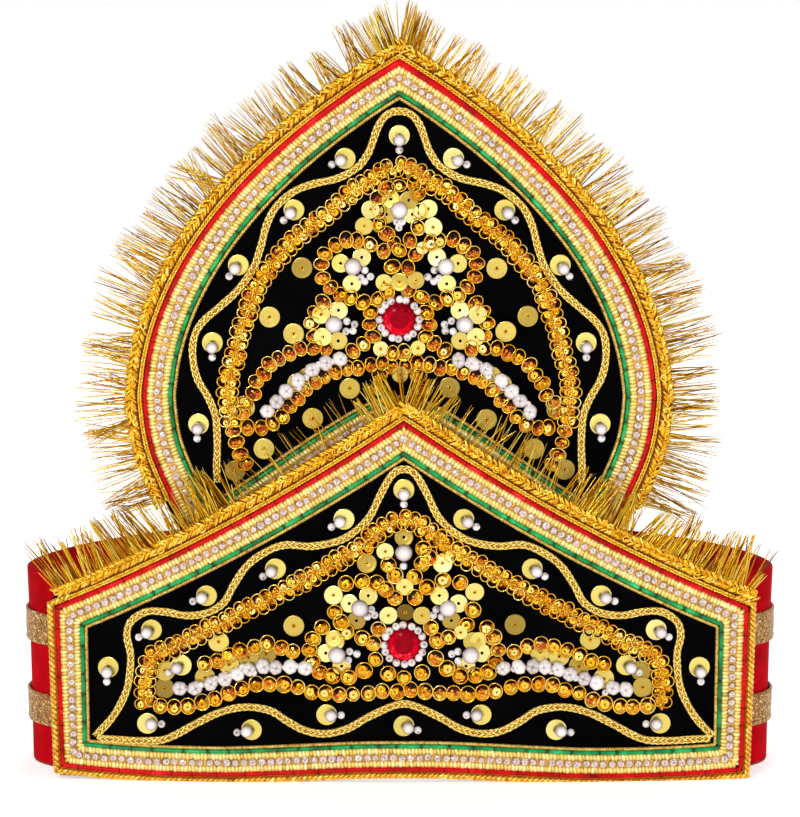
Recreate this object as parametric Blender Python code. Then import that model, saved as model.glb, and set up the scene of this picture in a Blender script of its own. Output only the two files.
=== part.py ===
# Velvet crown: a low front board and a tall crest board, both covered in black velvet and
# trimmed with gold braid, piping, crystal lace, pearls and ring chains, on a red head band.
# The front faces -Y, +Z is up, and the origin is at the bottom centre.
# Sizes are in millimetres until MM turns them into metres. "side" runs to the right along
# a board, "height" runs up and "out" runs away from the board's own front face.

import math

import bmesh
import bpy
from mathutils import Vector

MM = 0.001

SEAT_GAP = 0.3
BOARD_THICK = 2.5
TRIM_THICK = 2.2
BEND_RADIUS = 900.0
FRONT_SHIFT = 1.1

BAND_HALF_WIDTH = 108.6
BAND_DEPTH = 140.0
BAND_HEIGHT = 55.5
BAND_THICK = 2.0
BAND_FLARE = 1.3
BAND_WIDEST_DEPTH = 66.0
BAND_LAP_START = 70.0
BAND_LAP_END = 86.0
BAND_CORNER = [(92.8, 10.6), (97.2, 19.5), (102.4, 35.0), (106.8, 51.0)]
BAND_CORNER_STEP = 6.5
BAND_BACK_STEPS = 12
FLARE_START_DEPTH = 10.0

TAPE_WIDTH = 10.8
TAPE_THICK = 0.6
TAPE_START_DEPTH = 12.0
TAPE_MIDDLES = {"lower_band_tape": 16.8, "upper_band_tape": 40.4}

ROUND_SEGMENTS = 10
LARGE_PEARL = 5.0
LARGE_PEARL_ROWS = 5
SET_PEARL = 3.5
SET_PEARL_ROWS = 4
SET_PEARL_LIFT = 0.25
SEQUIN_WIDTH = 6.0
SEQUIN_THICK = 0.5
SEQUIN_PEARL_STEP = 1.3
STRING_PEARL = 3.8
STONE_SETTING_RADIUS = 6.4

RING_WIDTH = 3.8
DOUBLE_ROW_WIDTH = 5.8
RING_THICK = 1.7
RING_THICK_STEP = 0.03
WAVE_CORD_RADIUS = 1.05
EDGE_CORD_RADIUS = 1.0
EDGE_CORD_OFFSET = -1.95
EDGE_CORD_TOP = 47.0
BOARD_MARGIN = 3.0
CREST_COLUMNS = 16
CREST_COLUMN_REACH = 0.995
CURVE_PARTS = 8
SHARPEST_MITRE = 0.4

# The front face at x = 0 lies so that the whole crown's depth is centred on the origin:
# the large pearls reach furthest forwards and the upper tape reaches furthest back.
TAPE_TOP = TAPE_MIDDLES["upper_band_tape"] + TAPE_WIDTH / 2.0
BACK_REACH = BAND_DEPTH + SEAT_GAP + TAPE_THICK + BAND_FLARE * TAPE_TOP / BAND_HEIGHT
FACE_Y = -(BACK_REACH - SEAT_GAP - LARGE_PEARL) / 2.0
CREST_FACE = -(BOARD_THICK + TRIM_THICK + 2.0 * SEAT_GAP)

# Each board: its shift to the right, how far out its face lies, and how wide its trims spread.
FRONT = {"shift": FRONT_SHIFT, "face": 0.0, "spread": 1.0}
CREST = {"shift": 0.0, "face": CREST_FACE, "spread": 1.1}

# The red piping's line on the front board: a sloping top edge, a side and a waved bottom.
FRONT_SLOPE = [(0.0, 102.7), (48.9, 69.7), (97.7, 50.2)]
FRONT_SLOPE_STEPS = 6
FRONT_BOTTOM_CORNER = 96.0
FRONT_BOTTOM_HEIGHT = 3.55
FRONT_BOTTOM_WAVE = 0.55
FRONT_BOTTOM_HALF_WAVE = 57.0
FRONT_BOTTOM_STEPS = 6

# The red piping's line on the crest: a leaf-shaped top, a lower side and an arched bottom.
CREST_LEAF = [(0.0, 205.3), (52.0, 174.1), (72.9, 138.0), (72.9, 108.0)]
CREST_LEAF_STEPS = 13
CREST_LOWER_SIDE = [(72.9, 108.0), (72.9, 94.0), (66.0, 84.0), (58.0, 66.0)]
CREST_LOWER_STEPS = 3
CREST_ARCH_TOP = 101.5
CREST_ARCH_ROUND = 5.0
CREST_ARCH_SLOPE = 0.7
CREST_ARCH_SIDES = [40.0, 25.0, 14.0, 7.0, 2.5, 0.0]
CREST_FRINGE_END = 79.0

# Trims that follow the red line. across is measured inwards from that line and is
# multiplied by the board's spread; thick is how far the trim stands out.
TRIM_SECTIONS = {
    "red_piping": {"across": (-0.75, 0.75), "edge": 1.0, "middle": 1.5},
    "crystal_lace": {"across": (0.95, 6.05), "edge": 1.3, "middle": TRIM_THICK},
    "green_piping": {"across": (6.3, 7.6), "edge": 1.0, "middle": 1.4},
    "gold_edging": {"across": (7.85, 8.85), "edge": 0.7, "middle": 0.9},
}

# Fringes: a braid head that lies outside the red line, with locks of tinsel fused to it.
FRINGE = {"head": (-6.2, -1.0), "head_thick": 2.2, "lock_pitch": 7.6, "root_width": 6.2,
          "tip_width": 6.4, "lock_thick": 1.3, "lock_lift": 0.4, "lock_root": 4.0}
FRONT_LOCKS = {"middle": 9.0, "end": 14.5, "variation": 1.2}
CREST_LOCKS = {"middle": 13.0, "end": 13.5, "variation": 0.8}

# Wave cords, as points along the right half of each board.
CREST_WAVE = [(0.0, 191.5), (6.5, 185.0), (8.5, 179.2), (12.0, 175.2), (17.6, 172.4),
              (24.5, 170.8), (30.0, 168.6), (35.0, 164.3), (37.8, 159.0), (39.4, 153.0),
              (41.7, 146.7), (46.0, 140.6), (51.0, 136.0), (56.2, 131.4), (58.6, 127.0),
              (59.0, 121.0), (57.6, 115.0), (54.6, 109.8), (52.8, 105.3), (52.2, 100.8),
              (52.1, 95.0), (52.3, 90.0), (52.2, 85.5)]
FRONT_WAVE_UPPER = [(0.0, 90.2), (3.9, 87.4), (7.0, 82.6), (9.6, 76.8), (13.8, 72.4),
                    (19.0, 69.5), (26.5, 68.1), (34.0, 68.4), (40.2, 65.8), (44.9, 62.0),
                    (48.5, 56.6), (51.2, 51.8), (55.8, 48.8), (62.0, 47.9), (68.0, 48.9),
                    (73.5, 48.8), (77.8, 46.0), (79.0, 42.0), (78.0, 36.5), (78.3, 30.5),
                    (79.6, 25.0), (82.5, 19.0), (85.4, 15.6)]
FRONT_WAVE_LOWER = [(83.6, 14.2), (79.0, 13.4), (72.5, 13.6), (65.8, 14.8), (59.0, 17.2),
                    (52.0, 20.6), (45.0, 21.8), (38.5, 20.8), (33.5, 17.8), (28.0, 14.9),
                    (22.0, 14.1), (16.0, 15.6), (10.0, 19.0), (4.0, 21.8), (0.0, 22.8)]
WAVE_STEP = 6.5

# Ring chains of the right half of each board: width of the chain, then its route.
CREST_CHAINS = {
    "double_arch": (DOUBLE_ROW_WIDTH, [(0.0, 176.0), (7.0, 172.5), (13.0, 168.7), (22.0, 161.0),
                                       (29.5, 155.0), (39.0, 143.5), (43.5, 133.5), (47.0, 121.0),
                                       (49.0, 112.0), (48.5, 105.5), (46.5, 97.0), (44.0, 91.0)]),
    "top_lobe": (RING_WIDTH, [(0.0, 171.5), (3.8, 169.8), (7.0, 166.0), (10.0, 159.5),
                              (9.0, 154.5), (15.0, 155.2), (21.0, 151.0), (22.2, 146.0),
                              (19.5, 141.5), (13.5, 137.7), (9.5, 135.0)]),
    "heart_line": (RING_WIDTH, [(10.0, 158.5), (6.0, 158.5), (3.0, 154.5), (2.0, 147.5)]),
    "side_lobe": (RING_WIDTH, [(18.5, 141.0), (22.8, 136.0), (25.0, 131.0), (24.2, 126.5),
                               (24.0, 124.0)]),
    "stone_lobe": (RING_WIDTH, [(9.5, 136.0), (9.6, 130.0), (9.2, 126.5), (4.5, 123.0),
                                (0.0, 122.6)]),
    "under_stone": (RING_WIDTH, [(9.5, 126.0), (11.2, 122.5), (10.0, 119.0), (5.0, 119.6),
                                 (0.0, 119.4)]),
    "upper_arm": (RING_WIDTH, [(18.5, 124.2), (24.0, 124.2), (28.5, 124.0), (34.0, 121.6),
                               (38.5, 117.0), (42.0, 110.8), (46.0, 105.0)]),
    "lower_arm": (RING_WIDTH, [(9.5, 119.0), (15.0, 117.6), (20.0, 115.4), (24.5, 112.8),
                               (29.0, 108.0), (34.0, 103.4), (40.0, 101.2), (47.0, 100.5)]),
}
FRONT_CHAINS = {
    "double_slope": (DOUBLE_ROW_WIDTH, [(0.0, 76.5), (4.5, 74.2), (10.5, 69.5), (19.5, 63.6),
                                        (32.0, 56.4), (44.5, 49.8), (58.5, 42.5), (69.0, 37.5),
                                        (72.8, 33.5), (74.0, 28.0), (73.0, 22.5)]),
    "top_lobe": (RING_WIDTH, [(4.6, 72.5), (5.4, 66.5), (5.0, 61.5), (11.0, 58.6), (16.5, 57.6),
                              (20.0, 54.5), (20.0, 49.5), (16.5, 44.6), (12.0, 42.0),
                              (9.3, 37.0), (9.0, 33.0)]),
    "upper_arm": (RING_WIDTH, [(57.0, 34.3), (48.5, 37.8), (38.5, 40.2), (31.5, 38.6),
                               (26.8, 36.5), (24.0, 31.8), (19.0, 30.0), (13.0, 31.0),
                               (8.0, 32.0), (3.5, 30.4), (0.0, 30.2)]),
    "side_lobe": (RING_WIDTH, [(26.8, 37.5), (25.8, 42.0), (21.5, 44.4), (16.5, 44.4)]),
    "lower_arm": (RING_WIDTH, [(73.0, 22.3), (65.0, 21.6), (56.5, 23.0), (49.5, 25.6),
                               (43.0, 27.8), (35.0, 28.0), (27.0, 26.6), (18.0, 25.7),
                               (9.0, 26.0), (0.0, 26.8)]),
}
CHAIN_STEP = 5.4

# Pearl strings, one on each side of each board, between the arms of the ring chains.
CREST_STRING = [(37.5, 106.0), (32.6, 111.4), (29.0, 115.0), (25.0, 118.0), (21.0, 119.9),
                (17.0, 121.0)]
FRONT_STRING = [(63.5, 26.8), (59.0, 27.4), (55.0, 28.6), (47.5, 31.4), (40.0, 33.5),
                (34.0, 33.6), (28.5, 33.2)]
STRING_PITCH = 4.1
STRING_BEAD_PROFILE = [(0.0, 0.35), (0.28, 0.97), (0.72, 0.97)]
STRING_SIDES = 6

# Single pearls and stones: side and height of each on the right half or on the centre line.
CREST_LARGE_PEARLS = [(0.0, 163.5), (13.2, 147.5), (18.6, 131.0)]
FRONT_LARGE_PEARLS = [(0.0, 66.5), (12.5, 50.5), (19.0, 37.0)]
CREST_STONE = (0.0, 132.5)
FRONT_STONE = (0.0, 40.0)

# Sequins held by a pearl: side, height and the direction in degrees that the pearl leans to.
CREST_SETS = [(0.0, 184.5, 270), (15.4, 178.0, 336), (30.0, 163.4, 315), (45.9, 147.7, 309),
              (53.4, 125.5, 270), (57.5, 102.2, 275)]
FRONT_SETS = [(0.0, 84.3, 270), (84.5, 32.6, 275), (72.0, 43.6, 330), (56.2, 53.6, 338),
              (36.5, 61.5, 329), (17.0, 75.8, 329), (0.0, 16.3, 344)]

# Layers of a cut red stone in its ring setting: radius, height out and twist of each layer.
STONE_SIDES = 10
STONE_LAYERS = [(STONE_SETTING_RADIUS, SEAT_GAP, 0.0), (STONE_SETTING_RADIUS, 1.2, 0.0),
                (5.3, 1.6, 0.0), (4.7, 1.8, 0.5), (3.9, 2.6, 0.0), (2.7, 3.1, 0.5)]

# Materials: colour, roughness and metallic value.
MATERIALS = {
    "velvet": ((0.012, 0.009, 0.010), 0.95, 0.0),
    "red_cloth": ((0.45, 0.008, 0.022), 0.7, 0.0),
    "gold_tape": ((0.58, 0.40, 0.18), 0.45, 0.6),
    "gold_braid": ((0.72, 0.42, 0.06), 0.38, 0.8),
    "red_satin": ((0.62, 0.006, 0.02), 0.35, 0.0),
    "green_satin": ((0.0, 0.28, 0.10), 0.35, 0.0),
    "crystal_lace": ((0.86, 0.72, 0.45), 0.3, 0.5),
    "ring_gold": ((0.80, 0.50, 0.10), 0.25, 0.9),
    "pearl": ((0.88, 0.84, 0.82), 0.2, 0.0),
    "red_stone": ((0.55, 0.0, 0.03), 0.08, 0.0),
}


# Scene and materials

def clear_scene():
    for item in list(bpy.data.objects):
        bpy.data.objects.remove(item, do_unlink=True)


def make_material(name):
    colour, roughness, metallic = MATERIALS[name]
    material = bpy.data.materials.get(name)
    if material is None:
        material = bpy.data.materials.new(name)
        material.use_nodes = True
        shader = material.node_tree.nodes["Principled BSDF"]
        shader.inputs["Base Color"].default_value = (*colour, 1.0)
        shader.inputs["Roughness"].default_value = roughness
        shader.inputs["Metallic"].default_value = metallic
        material.diffuse_color = (*colour, 1.0)
    return material


def make_object(name, bm, material, smooth=False):
    bmesh.ops.recalc_face_normals(bm, faces=bm.faces)
    mesh = bpy.data.meshes.new(name)
    bm.to_mesh(mesh)
    bm.free()
    if smooth:
        mesh.shade_smooth()
        mesh.set_sharp_from_angle(angle=math.radians(40.0))
    item = bpy.data.objects.new(name, mesh)
    item.data.materials.append(make_material(material))
    bpy.context.scene.collection.objects.link(item)
    return item


def fuse(main, others):
    for other in others:
        cut = main.modifiers.new("fuse", "BOOLEAN")
        cut.operation = "UNION"
        cut.solver = "EXACT"
        cut.object = other
        graph = bpy.context.evaluated_depsgraph_get()
        fused = bpy.data.meshes.new_from_object(main.evaluated_get(graph))
        main.modifiers.clear()
        main.data = fused
        bpy.data.objects.remove(other, do_unlink=True)
    return main


# Places on the bent boards

def spot(board, side, height, out):
    angle = (side + board["shift"]) / BEND_RADIUS
    radius = BEND_RADIUS + board["face"] + out
    x = radius * math.sin(angle)
    y = FACE_Y + BEND_RADIUS - radius * math.cos(angle)
    return Vector((x, y, height)) * MM


def mirrored(points):
    return [(-side, height) for side, height in reversed(points)]


# Curves in the plane of a board

def bezier(controls, steps):
    points = []
    for step in range(steps + 1):
        part = step / steps
        level = [Vector(control) for control in controls]
        while len(level) > 1:
            level = [a.lerp(b, part) for a, b in zip(level, level[1:])]
        points.append((level[0].x, level[0].y))
    return points


def spread_evenly(points, step):
    lengths = [0.0]
    for a, b in zip(points, points[1:]):
        lengths.append(lengths[-1] + math.dist(a, b))
    count = max(2, round(lengths[-1] / step))
    even = []
    index = 0
    for number in range(count + 1):
        wanted = lengths[-1] * number / count
        while index < len(points) - 2 and lengths[index + 1] < wanted:
            index += 1
        span = lengths[index + 1] - lengths[index]
        part = (wanted - lengths[index]) / span
        even.append(tuple(Vector(points[index]).lerp(Vector(points[index + 1]), part)))
    return even


def smooth_route(points, step):
    fine = []
    padded = [points[0]] + list(points) + [points[-1]]
    for a, b, c, d in zip(padded, padded[1:], padded[2:], padded[3:]):
        for number in range(CURVE_PARTS):
            t = number / CURVE_PARTS
            fine.append(tuple(
                0.5 * (2 * q + (r - p) * t + (2 * p - 5 * q + 4 * r - s) * t * t
                       + (3 * q - p - 3 * r + s) * t ** 3)
                for p, q, r, s in zip(a, b, c, d)))
    fine.append(tuple(points[-1]))
    return spread_evenly(fine, step)


def inward_normals(path, closed):
    normals = []
    count = len(path)
    for index in range(count):
        before = path[index - 1] if closed or index > 0 else None
        after = path[(index + 1) % count] if closed or index < count - 1 else None
        here = Vector(path[index])
        edges = []
        if before is not None:
            edges.append((here - Vector(before)).normalized())
        if after is not None:
            edges.append((Vector(after) - here).normalized())
        sides = [Vector((edge.y, -edge.x)) for edge in edges]
        middle = sum(sides, Vector((0.0, 0.0))).normalized()
        normals.append(middle / max(SHARPEST_MITRE, middle.dot(sides[0])))
    return normals


def front_red_line():
    half = bezier(FRONT_SLOPE, FRONT_SLOPE_STEPS)
    for step in range(FRONT_BOTTOM_STEPS + 1):
        side = FRONT_BOTTOM_CORNER * (1.0 - step / FRONT_BOTTOM_STEPS)
        wave = math.cos(math.pi * side / FRONT_BOTTOM_HALF_WAVE)
        half.append((side, FRONT_BOTTOM_HEIGHT + FRONT_BOTTOM_WAVE * wave))
    return half + mirrored(half[1:-1])


def crest_arch_height(side):
    rise = math.hypot(CREST_ARCH_ROUND, CREST_ARCH_SLOPE * side) - CREST_ARCH_ROUND
    return CREST_ARCH_TOP - rise


def crest_red_line():
    half = bezier(CREST_LEAF, CREST_LEAF_STEPS)
    half += bezier(CREST_LOWER_SIDE, CREST_LOWER_STEPS)[1:]
    half += [(side, crest_arch_height(side)) for side in CREST_ARCH_SIDES]
    return half + mirrored(half[1:-1])


def moved_inwards(path, distance):
    normals = inward_normals(path, True)
    return [(side + normal.x * distance, height + normal.y * distance)
            for (side, height), normal in zip(path, normals)]


# Solids

def sweep(board, path, sections, closed):
    bm = bmesh.new()
    normals = inward_normals(path, closed)
    rings = []
    for index, ((side, height), normal) in enumerate(zip(path, normals)):
        section = sections[index % len(sections)]
        rings.append([bm.verts.new(spot(board, side + normal.x * across,
                                        height + normal.y * across, out))
                      for across, out in section])
    last = len(rings) if closed else len(rings) - 1
    for index in range(last):
        ring = rings[index]
        following = rings[(index + 1) % len(rings)]
        for corner in range(len(ring)):
            beyond = (corner + 1) % len(ring)
            bm.faces.new((ring[corner], ring[beyond], following[beyond], following[corner]))
    if not closed:
        bm.faces.new(rings[0])
        bm.faces.new(rings[-1])
    return bm


def round_section(radius, sides, flat=1.0):
    middle = SEAT_GAP + radius * flat
    return [(radius * math.cos(math.tau * number / sides),
             middle + radius * flat * math.sin(math.tau * number / sides))
            for number in range(sides)]


def board_solid(name, board, bottoms, tops):
    bm = bmesh.new()
    columns = []
    for bottom, top in zip(bottoms, tops):
        columns.append([bm.verts.new(spot(board, *bottom, 0.0)),
                        bm.verts.new(spot(board, *top, 0.0)),
                        bm.verts.new(spot(board, *top, -BOARD_THICK)),
                        bm.verts.new(spot(board, *bottom, -BOARD_THICK))])
    for column, following in zip(columns, columns[1:]):
        for corner in range(4):
            beyond = (corner + 1) % 4
            bm.faces.new((column[corner], column[beyond], following[beyond], following[corner]))
    bm.faces.new(columns[0])
    bm.faces.new(columns[-1])
    return make_object(name, bm, "velvet")


def front_panel():
    outline = moved_inwards(front_red_line(), -BOARD_MARGIN)
    half_count = FRONT_SLOPE_STEPS + 1
    tops = outline[:half_count]
    bottoms = outline[half_count:half_count + FRONT_BOTTOM_STEPS + 1][::-1]
    tops = mirrored(tops[1:]) + tops
    bottoms = mirrored(bottoms[1:]) + bottoms
    return board_solid("front_panel", FRONT, bottoms, tops)


def height_at(curve, side):
    for (a_side, a_height), (b_side, b_height) in zip(curve, curve[1:]):
        if min(a_side, b_side) <= side <= max(a_side, b_side):
            part = (side - a_side) / (b_side - a_side)
            return a_height + (b_height - a_height) * part
    return curve[-1][1]


def crest_panel():
    outline = moved_inwards(crest_red_line(), -BOARD_MARGIN)
    widest = CREST_LEAF_STEPS
    leaf = outline[:widest + 1]
    lower = outline[widest:widest + CREST_LOWER_STEPS + len(CREST_ARCH_SIDES) + 1]
    most = leaf[-1][0]
    tops = []
    bottoms = []
    for number in range(CREST_COLUMNS):
        part = math.sin(0.5 * math.pi * number / (CREST_COLUMNS - 1))
        side = most * CREST_COLUMN_REACH * part
        tops.append((side, height_at(leaf, side)))
        bottoms.append((side, height_at(lower[::-1], side)))
    tops = mirrored(tops[1:]) + tops
    bottoms = mirrored(bottoms[1:]) + bottoms
    return board_solid("crest_panel", CREST, bottoms, tops)


def trim(name, kind, board, path, material):
    row = TRIM_SECTIONS[kind]
    inner, outer = (across * board["spread"] for across in row["across"])
    middle = (inner + outer) / 2.0
    section = [(inner, SEAT_GAP), (outer, SEAT_GAP), (outer, SEAT_GAP + row["edge"]),
               (middle, SEAT_GAP + row["middle"]), (inner, SEAT_GAP + row["edge"])]
    bm = sweep(board, path, [section], True)
    return make_object(name, bm, material)


def fringe_lock(bm, board, root, outwards, length):
    across = Vector((-outwards.y, outwards.x))
    low = SEAT_GAP + FRINGE["lock_lift"]
    high = low + FRINGE["lock_thick"]
    start = Vector(root) + outwards * FRINGE["lock_root"]
    tip = Vector(root) + outwards * (length - FRINGE["head"][0])
    corners = []
    for centre, width in ((start, FRINGE["root_width"]), (tip, FRINGE["tip_width"])):
        for sign in (-1.0, 1.0):
            point = centre + across * (sign * width / 2.0)
            corners.append((point.x, point.y))
    loop = [corners[0], corners[1], corners[3], corners[2]]
    back = [bm.verts.new(spot(board, *corner, low)) for corner in loop]
    front = [bm.verts.new(spot(board, *corner, high)) for corner in loop]
    bm.faces.new(back)
    bm.faces.new(front)
    for corner in range(4):
        beyond = (corner + 1) % 4
        bm.faces.new((back[corner], back[beyond], front[beyond], front[corner]))


def fringe(name, board, path, locks_row):
    outer, inner = FRINGE["head"]
    thick = FRINGE["head_thick"]
    section = [(outer, SEAT_GAP), (inner, SEAT_GAP), (inner, SEAT_GAP + thick),
               (outer, SEAT_GAP + thick)]
    head = make_object(name, sweep(board, path, [section], False), "gold_braid")
    roots = spread_evenly(path, FRINGE["lock_pitch"])
    normals = inward_normals(roots, False)
    middle = (len(roots) - 1) / 2.0
    bm = bmesh.new()
    for number, (root, normal) in enumerate(zip(roots, normals)):
        away = abs(number - middle) / middle
        length = locks_row["middle"] + (locks_row["end"] - locks_row["middle"]) * away
        length += locks_row["variation"] * math.sin(2.4 * number)
        fringe_lock(bm, board, root, -normal.normalized(), length)
    locks = make_object(name + "_locks", bm, "gold_braid")
    return fuse(head, [locks])


def front_edge_cord():
    line = front_red_line()
    corner = FRONT_SLOPE_STEPS
    top = line[corner]
    lower = line[corner + 1]
    part = (top[1] - EDGE_CORD_TOP) / (top[1] - lower[1])
    start = tuple(Vector(top).lerp(Vector(lower), part))
    right = [start] + line[corner + 1:corner + FRONT_BOTTOM_STEPS + 2]
    path = right + mirrored(right[:-1])
    section = [(EDGE_CORD_OFFSET + across, out) for across, out in round_section(EDGE_CORD_RADIUS, 6)]
    return make_object("front_edge_cord", sweep(FRONT, path, [section], False), "gold_braid")


def wave_cords():
    section = [round_section(WAVE_CORD_RADIUS, 6)]
    crest = smooth_route(mirrored(CREST_WAVE[1:]) + CREST_WAVE, WAVE_STEP)
    make_object("crest_wave_cord", sweep(CREST, crest, section, False), "gold_braid")
    half = FRONT_WAVE_UPPER + FRONT_WAVE_LOWER
    front = smooth_route(half + mirrored(half[:-1]), WAVE_STEP)[:-1]
    make_object("front_wave_cord", sweep(FRONT, front, section, True), "gold_braid")


def chain_field(name, board, chains):
    pieces = []
    for number, (width, route) in enumerate(chains.values()):
        low = SEAT_GAP + RING_THICK_STEP * number
        high = SEAT_GAP + RING_THICK - RING_THICK_STEP * number
        section = [(-width / 2.0, low), (width / 2.0, low), (width / 2.0, high), (-width / 2.0, high)]
        crosses = route[0][0] == 0.0 or route[-1][0] == 0.0
        ordered = route if route[0][0] == 0.0 else route[::-1]
        if crosses:
            paths = [mirrored(ordered[1:]) + ordered]
        else:
            paths = [route, mirrored(route)]
        for path in paths:
            bm = sweep(board, smooth_route(path, CHAIN_STEP), [section], False)
            pieces.append(make_object(name, bm, "ring_gold"))
    return fuse(pieces[0], pieces[1:])


def pearl_string(name, board, route):
    beads = max(2, round(sum(math.dist(a, b) for a, b in zip(route, route[1:])) / STRING_PITCH))
    fine = smooth_route(route, 0.1)
    radius = STRING_PEARL / 2.0
    path = []
    sections = []
    for number in range(beads):
        for part, share in STRING_BEAD_PROFILE:
            place = (number + part) / beads * (len(fine) - 1)
            path.append(fine[round(place)])
            sections.append(bead_section(radius, share))
    path.append(fine[-1])
    sections.append(bead_section(radius, STRING_BEAD_PROFILE[0][1]))
    return make_object(name, sweep(board, path, sections, False), "pearl", smooth=True)


def bead_section(radius, share):
    return [(radius * share * math.cos(math.tau * number / STRING_SIDES),
             SEAT_GAP + radius + radius * share * math.sin(math.tau * number / STRING_SIDES))
            for number in range(STRING_SIDES)]


def pearl(name, board, side, height, diameter, lift, rows):
    bm = bmesh.new()
    bmesh.ops.create_uvsphere(bm, u_segments=ROUND_SEGMENTS, v_segments=rows,
                              radius=diameter / 2.0 * MM)
    bm.transform(placing(board, side, height, lift + diameter / 2.0))
    return make_object(name, bm, "pearl", smooth=True)


def placing(board, side, height, out):
    middle = spot(board, side, height, out)
    outwards = spot(board, side, height, out + 1.0) - middle
    turn = outwards.to_track_quat("Z", "Y").to_matrix().to_4x4()
    turn.translation = middle
    return turn


def sequin_set(name, board, side, height, lean):
    bm = bmesh.new()
    radius = SEQUIN_WIDTH / 2.0 * MM
    bmesh.ops.create_cone(bm, cap_ends=True, segments=ROUND_SEGMENTS, radius1=radius,
                          radius2=radius, depth=SEQUIN_THICK * MM)
    bm.transform(placing(board, side, height, SEAT_GAP + SEQUIN_THICK / 2.0))
    disc = make_object(name, bm, "ring_gold")
    angle = math.radians(lean)
    bead = pearl(name + "_bead", board, side + SEQUIN_PEARL_STEP * math.cos(angle),
                 height + SEQUIN_PEARL_STEP * math.sin(angle), SET_PEARL,
                 SEAT_GAP + SET_PEARL_LIFT, SET_PEARL_ROWS)
    return fuse(disc, [bead])


def red_stone(name, board, side, height):
    bm = bmesh.new()
    rings = []
    for radius, out, twist in STONE_LAYERS:
        ring = []
        for number in range(STONE_SIDES):
            angle = math.tau * (number + twist) / STONE_SIDES
            ring.append(bm.verts.new(spot(board, side + radius * math.cos(angle),
                                          height + radius * math.sin(angle), out)))
        rings.append(ring)
    twists = [twist for radius, out, twist in STONE_LAYERS]
    for ring, following, twist, next_twist in zip(rings, rings[1:], twists, twists[1:]):
        for number in range(STONE_SIDES):
            a, b = ring[number], ring[(number + 1) % STONE_SIDES]
            c, d = following[(number + 1) % STONE_SIDES], following[number]
            if twist == next_twist:
                bm.faces.new((a, b, c, d))
            elif twist < next_twist:
                bm.faces.new((a, b, d))
                bm.faces.new((b, c, d))
            else:
                bm.faces.new((a, c, d))
                bm.faces.new((a, b, c))
    bm.faces.new(rings[0])
    bm.faces.new(rings[-1])
    return make_object(name, bm, "red_stone")


# The head band and its tapes, in plan: x to the right and depth behind the front face

def board_back_depth(side):
    angle = side / BEND_RADIUS
    return BEND_RADIUS - (BEND_RADIUS - BOARD_THICK - SEAT_GAP) * math.cos(angle)


def band_half_plan():
    lap = [(side, board_back_depth(side)) for side in (BAND_LAP_START, BAND_LAP_END)]
    widest = (BAND_HALF_WIDTH, BAND_WIDEST_DEPTH)
    corner = smooth_route([lap[1]] + BAND_CORNER + [widest], BAND_CORNER_STEP)
    back = []
    reach = BAND_DEPTH - BAND_WIDEST_DEPTH
    for step in range(1, BAND_BACK_STEPS + 1):
        angle = 0.5 * math.pi * step / BAND_BACK_STEPS
        back.append((BAND_HALF_WIDTH * math.cos(angle),
                     BAND_WIDEST_DEPTH + reach * math.sin(angle)))
    return [lap[0]] + corner + back


def band_plan():
    half = band_half_plan()
    return half + [(-x, depth) for x, depth in reversed(half[:-1])]


def band_wall(name, plan, near, far, bottom, top, material):
    bm = bmesh.new()
    rings = []
    outwards = inward_normals(plan, False)
    for (x, depth), normal in zip(plan, outwards):
        ease = (depth - FLARE_START_DEPTH) / (BAND_WIDEST_DEPTH - FLARE_START_DEPTH)
        ease = min(1.0, max(0.0, ease))
        ring = []
        for out, height in ((near, bottom), (far, bottom), (far, top), (near, top)):
            flared = out + BAND_FLARE * ease * height / BAND_HEIGHT
            ring.append(bm.verts.new(Vector((x + normal.x * flared,
                                             FACE_Y + depth + normal.y * flared,
                                             height)) * MM))
        rings.append(ring)
    for ring, following in zip(rings, rings[1:]):
        for corner in range(4):
            beyond = (corner + 1) % 4
            bm.faces.new((ring[corner], ring[beyond], following[beyond], following[corner]))
    bm.faces.new(rings[0])
    bm.faces.new(rings[-1])
    return make_object(name, bm, material)


def head_band():
    plan = band_plan()
    band_wall("head_band", plan, -BAND_THICK, 0.0, 0.0, BAND_HEIGHT, "red_cloth")
    beyond_board = [place for place in plan if place[1] > TAPE_START_DEPTH]
    for name, middle in TAPE_MIDDLES.items():
        band_wall(name, beyond_board, SEAT_GAP, SEAT_GAP + TAPE_THICK,
                  middle - TAPE_WIDTH / 2.0, middle + TAPE_WIDTH / 2.0, "gold_tape")


# The whole crown

def both_sides(rows):
    for number, row in enumerate(rows, start=1):
        if row[0] == 0.0:
            yield "centre" if number == 1 else "centre_low", number, row, 1.0
        else:
            yield "right", number, row, 1.0
            yield "left", number, row, -1.0


def board_trims(label, board, line):
    for kind, material in (("red_piping", "red_satin"), ("crystal_lace", "crystal_lace"),
                           ("green_piping", "green_satin"), ("gold_edging", "gold_braid")):
        trim(f"{label}_{kind}", kind, board, line, material)


def jewels(label, board, pearls, sets, stone):
    red_stone(f"{label}_red_stone", board, *stone)
    for place, number, (side, height), sign in both_sides(pearls):
        pearl(f"{label}_large_pearl_{place}_{number}", board, side * sign, height, LARGE_PEARL,
              SEAT_GAP, 5)
    for place, number, (side, height, lean), sign in both_sides(sets):
        turned = lean if sign > 0.0 else 180 - lean
        sequin_set(f"{label}_sequin_pearl_{place}_{number}", board, side * sign, height, turned)


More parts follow.
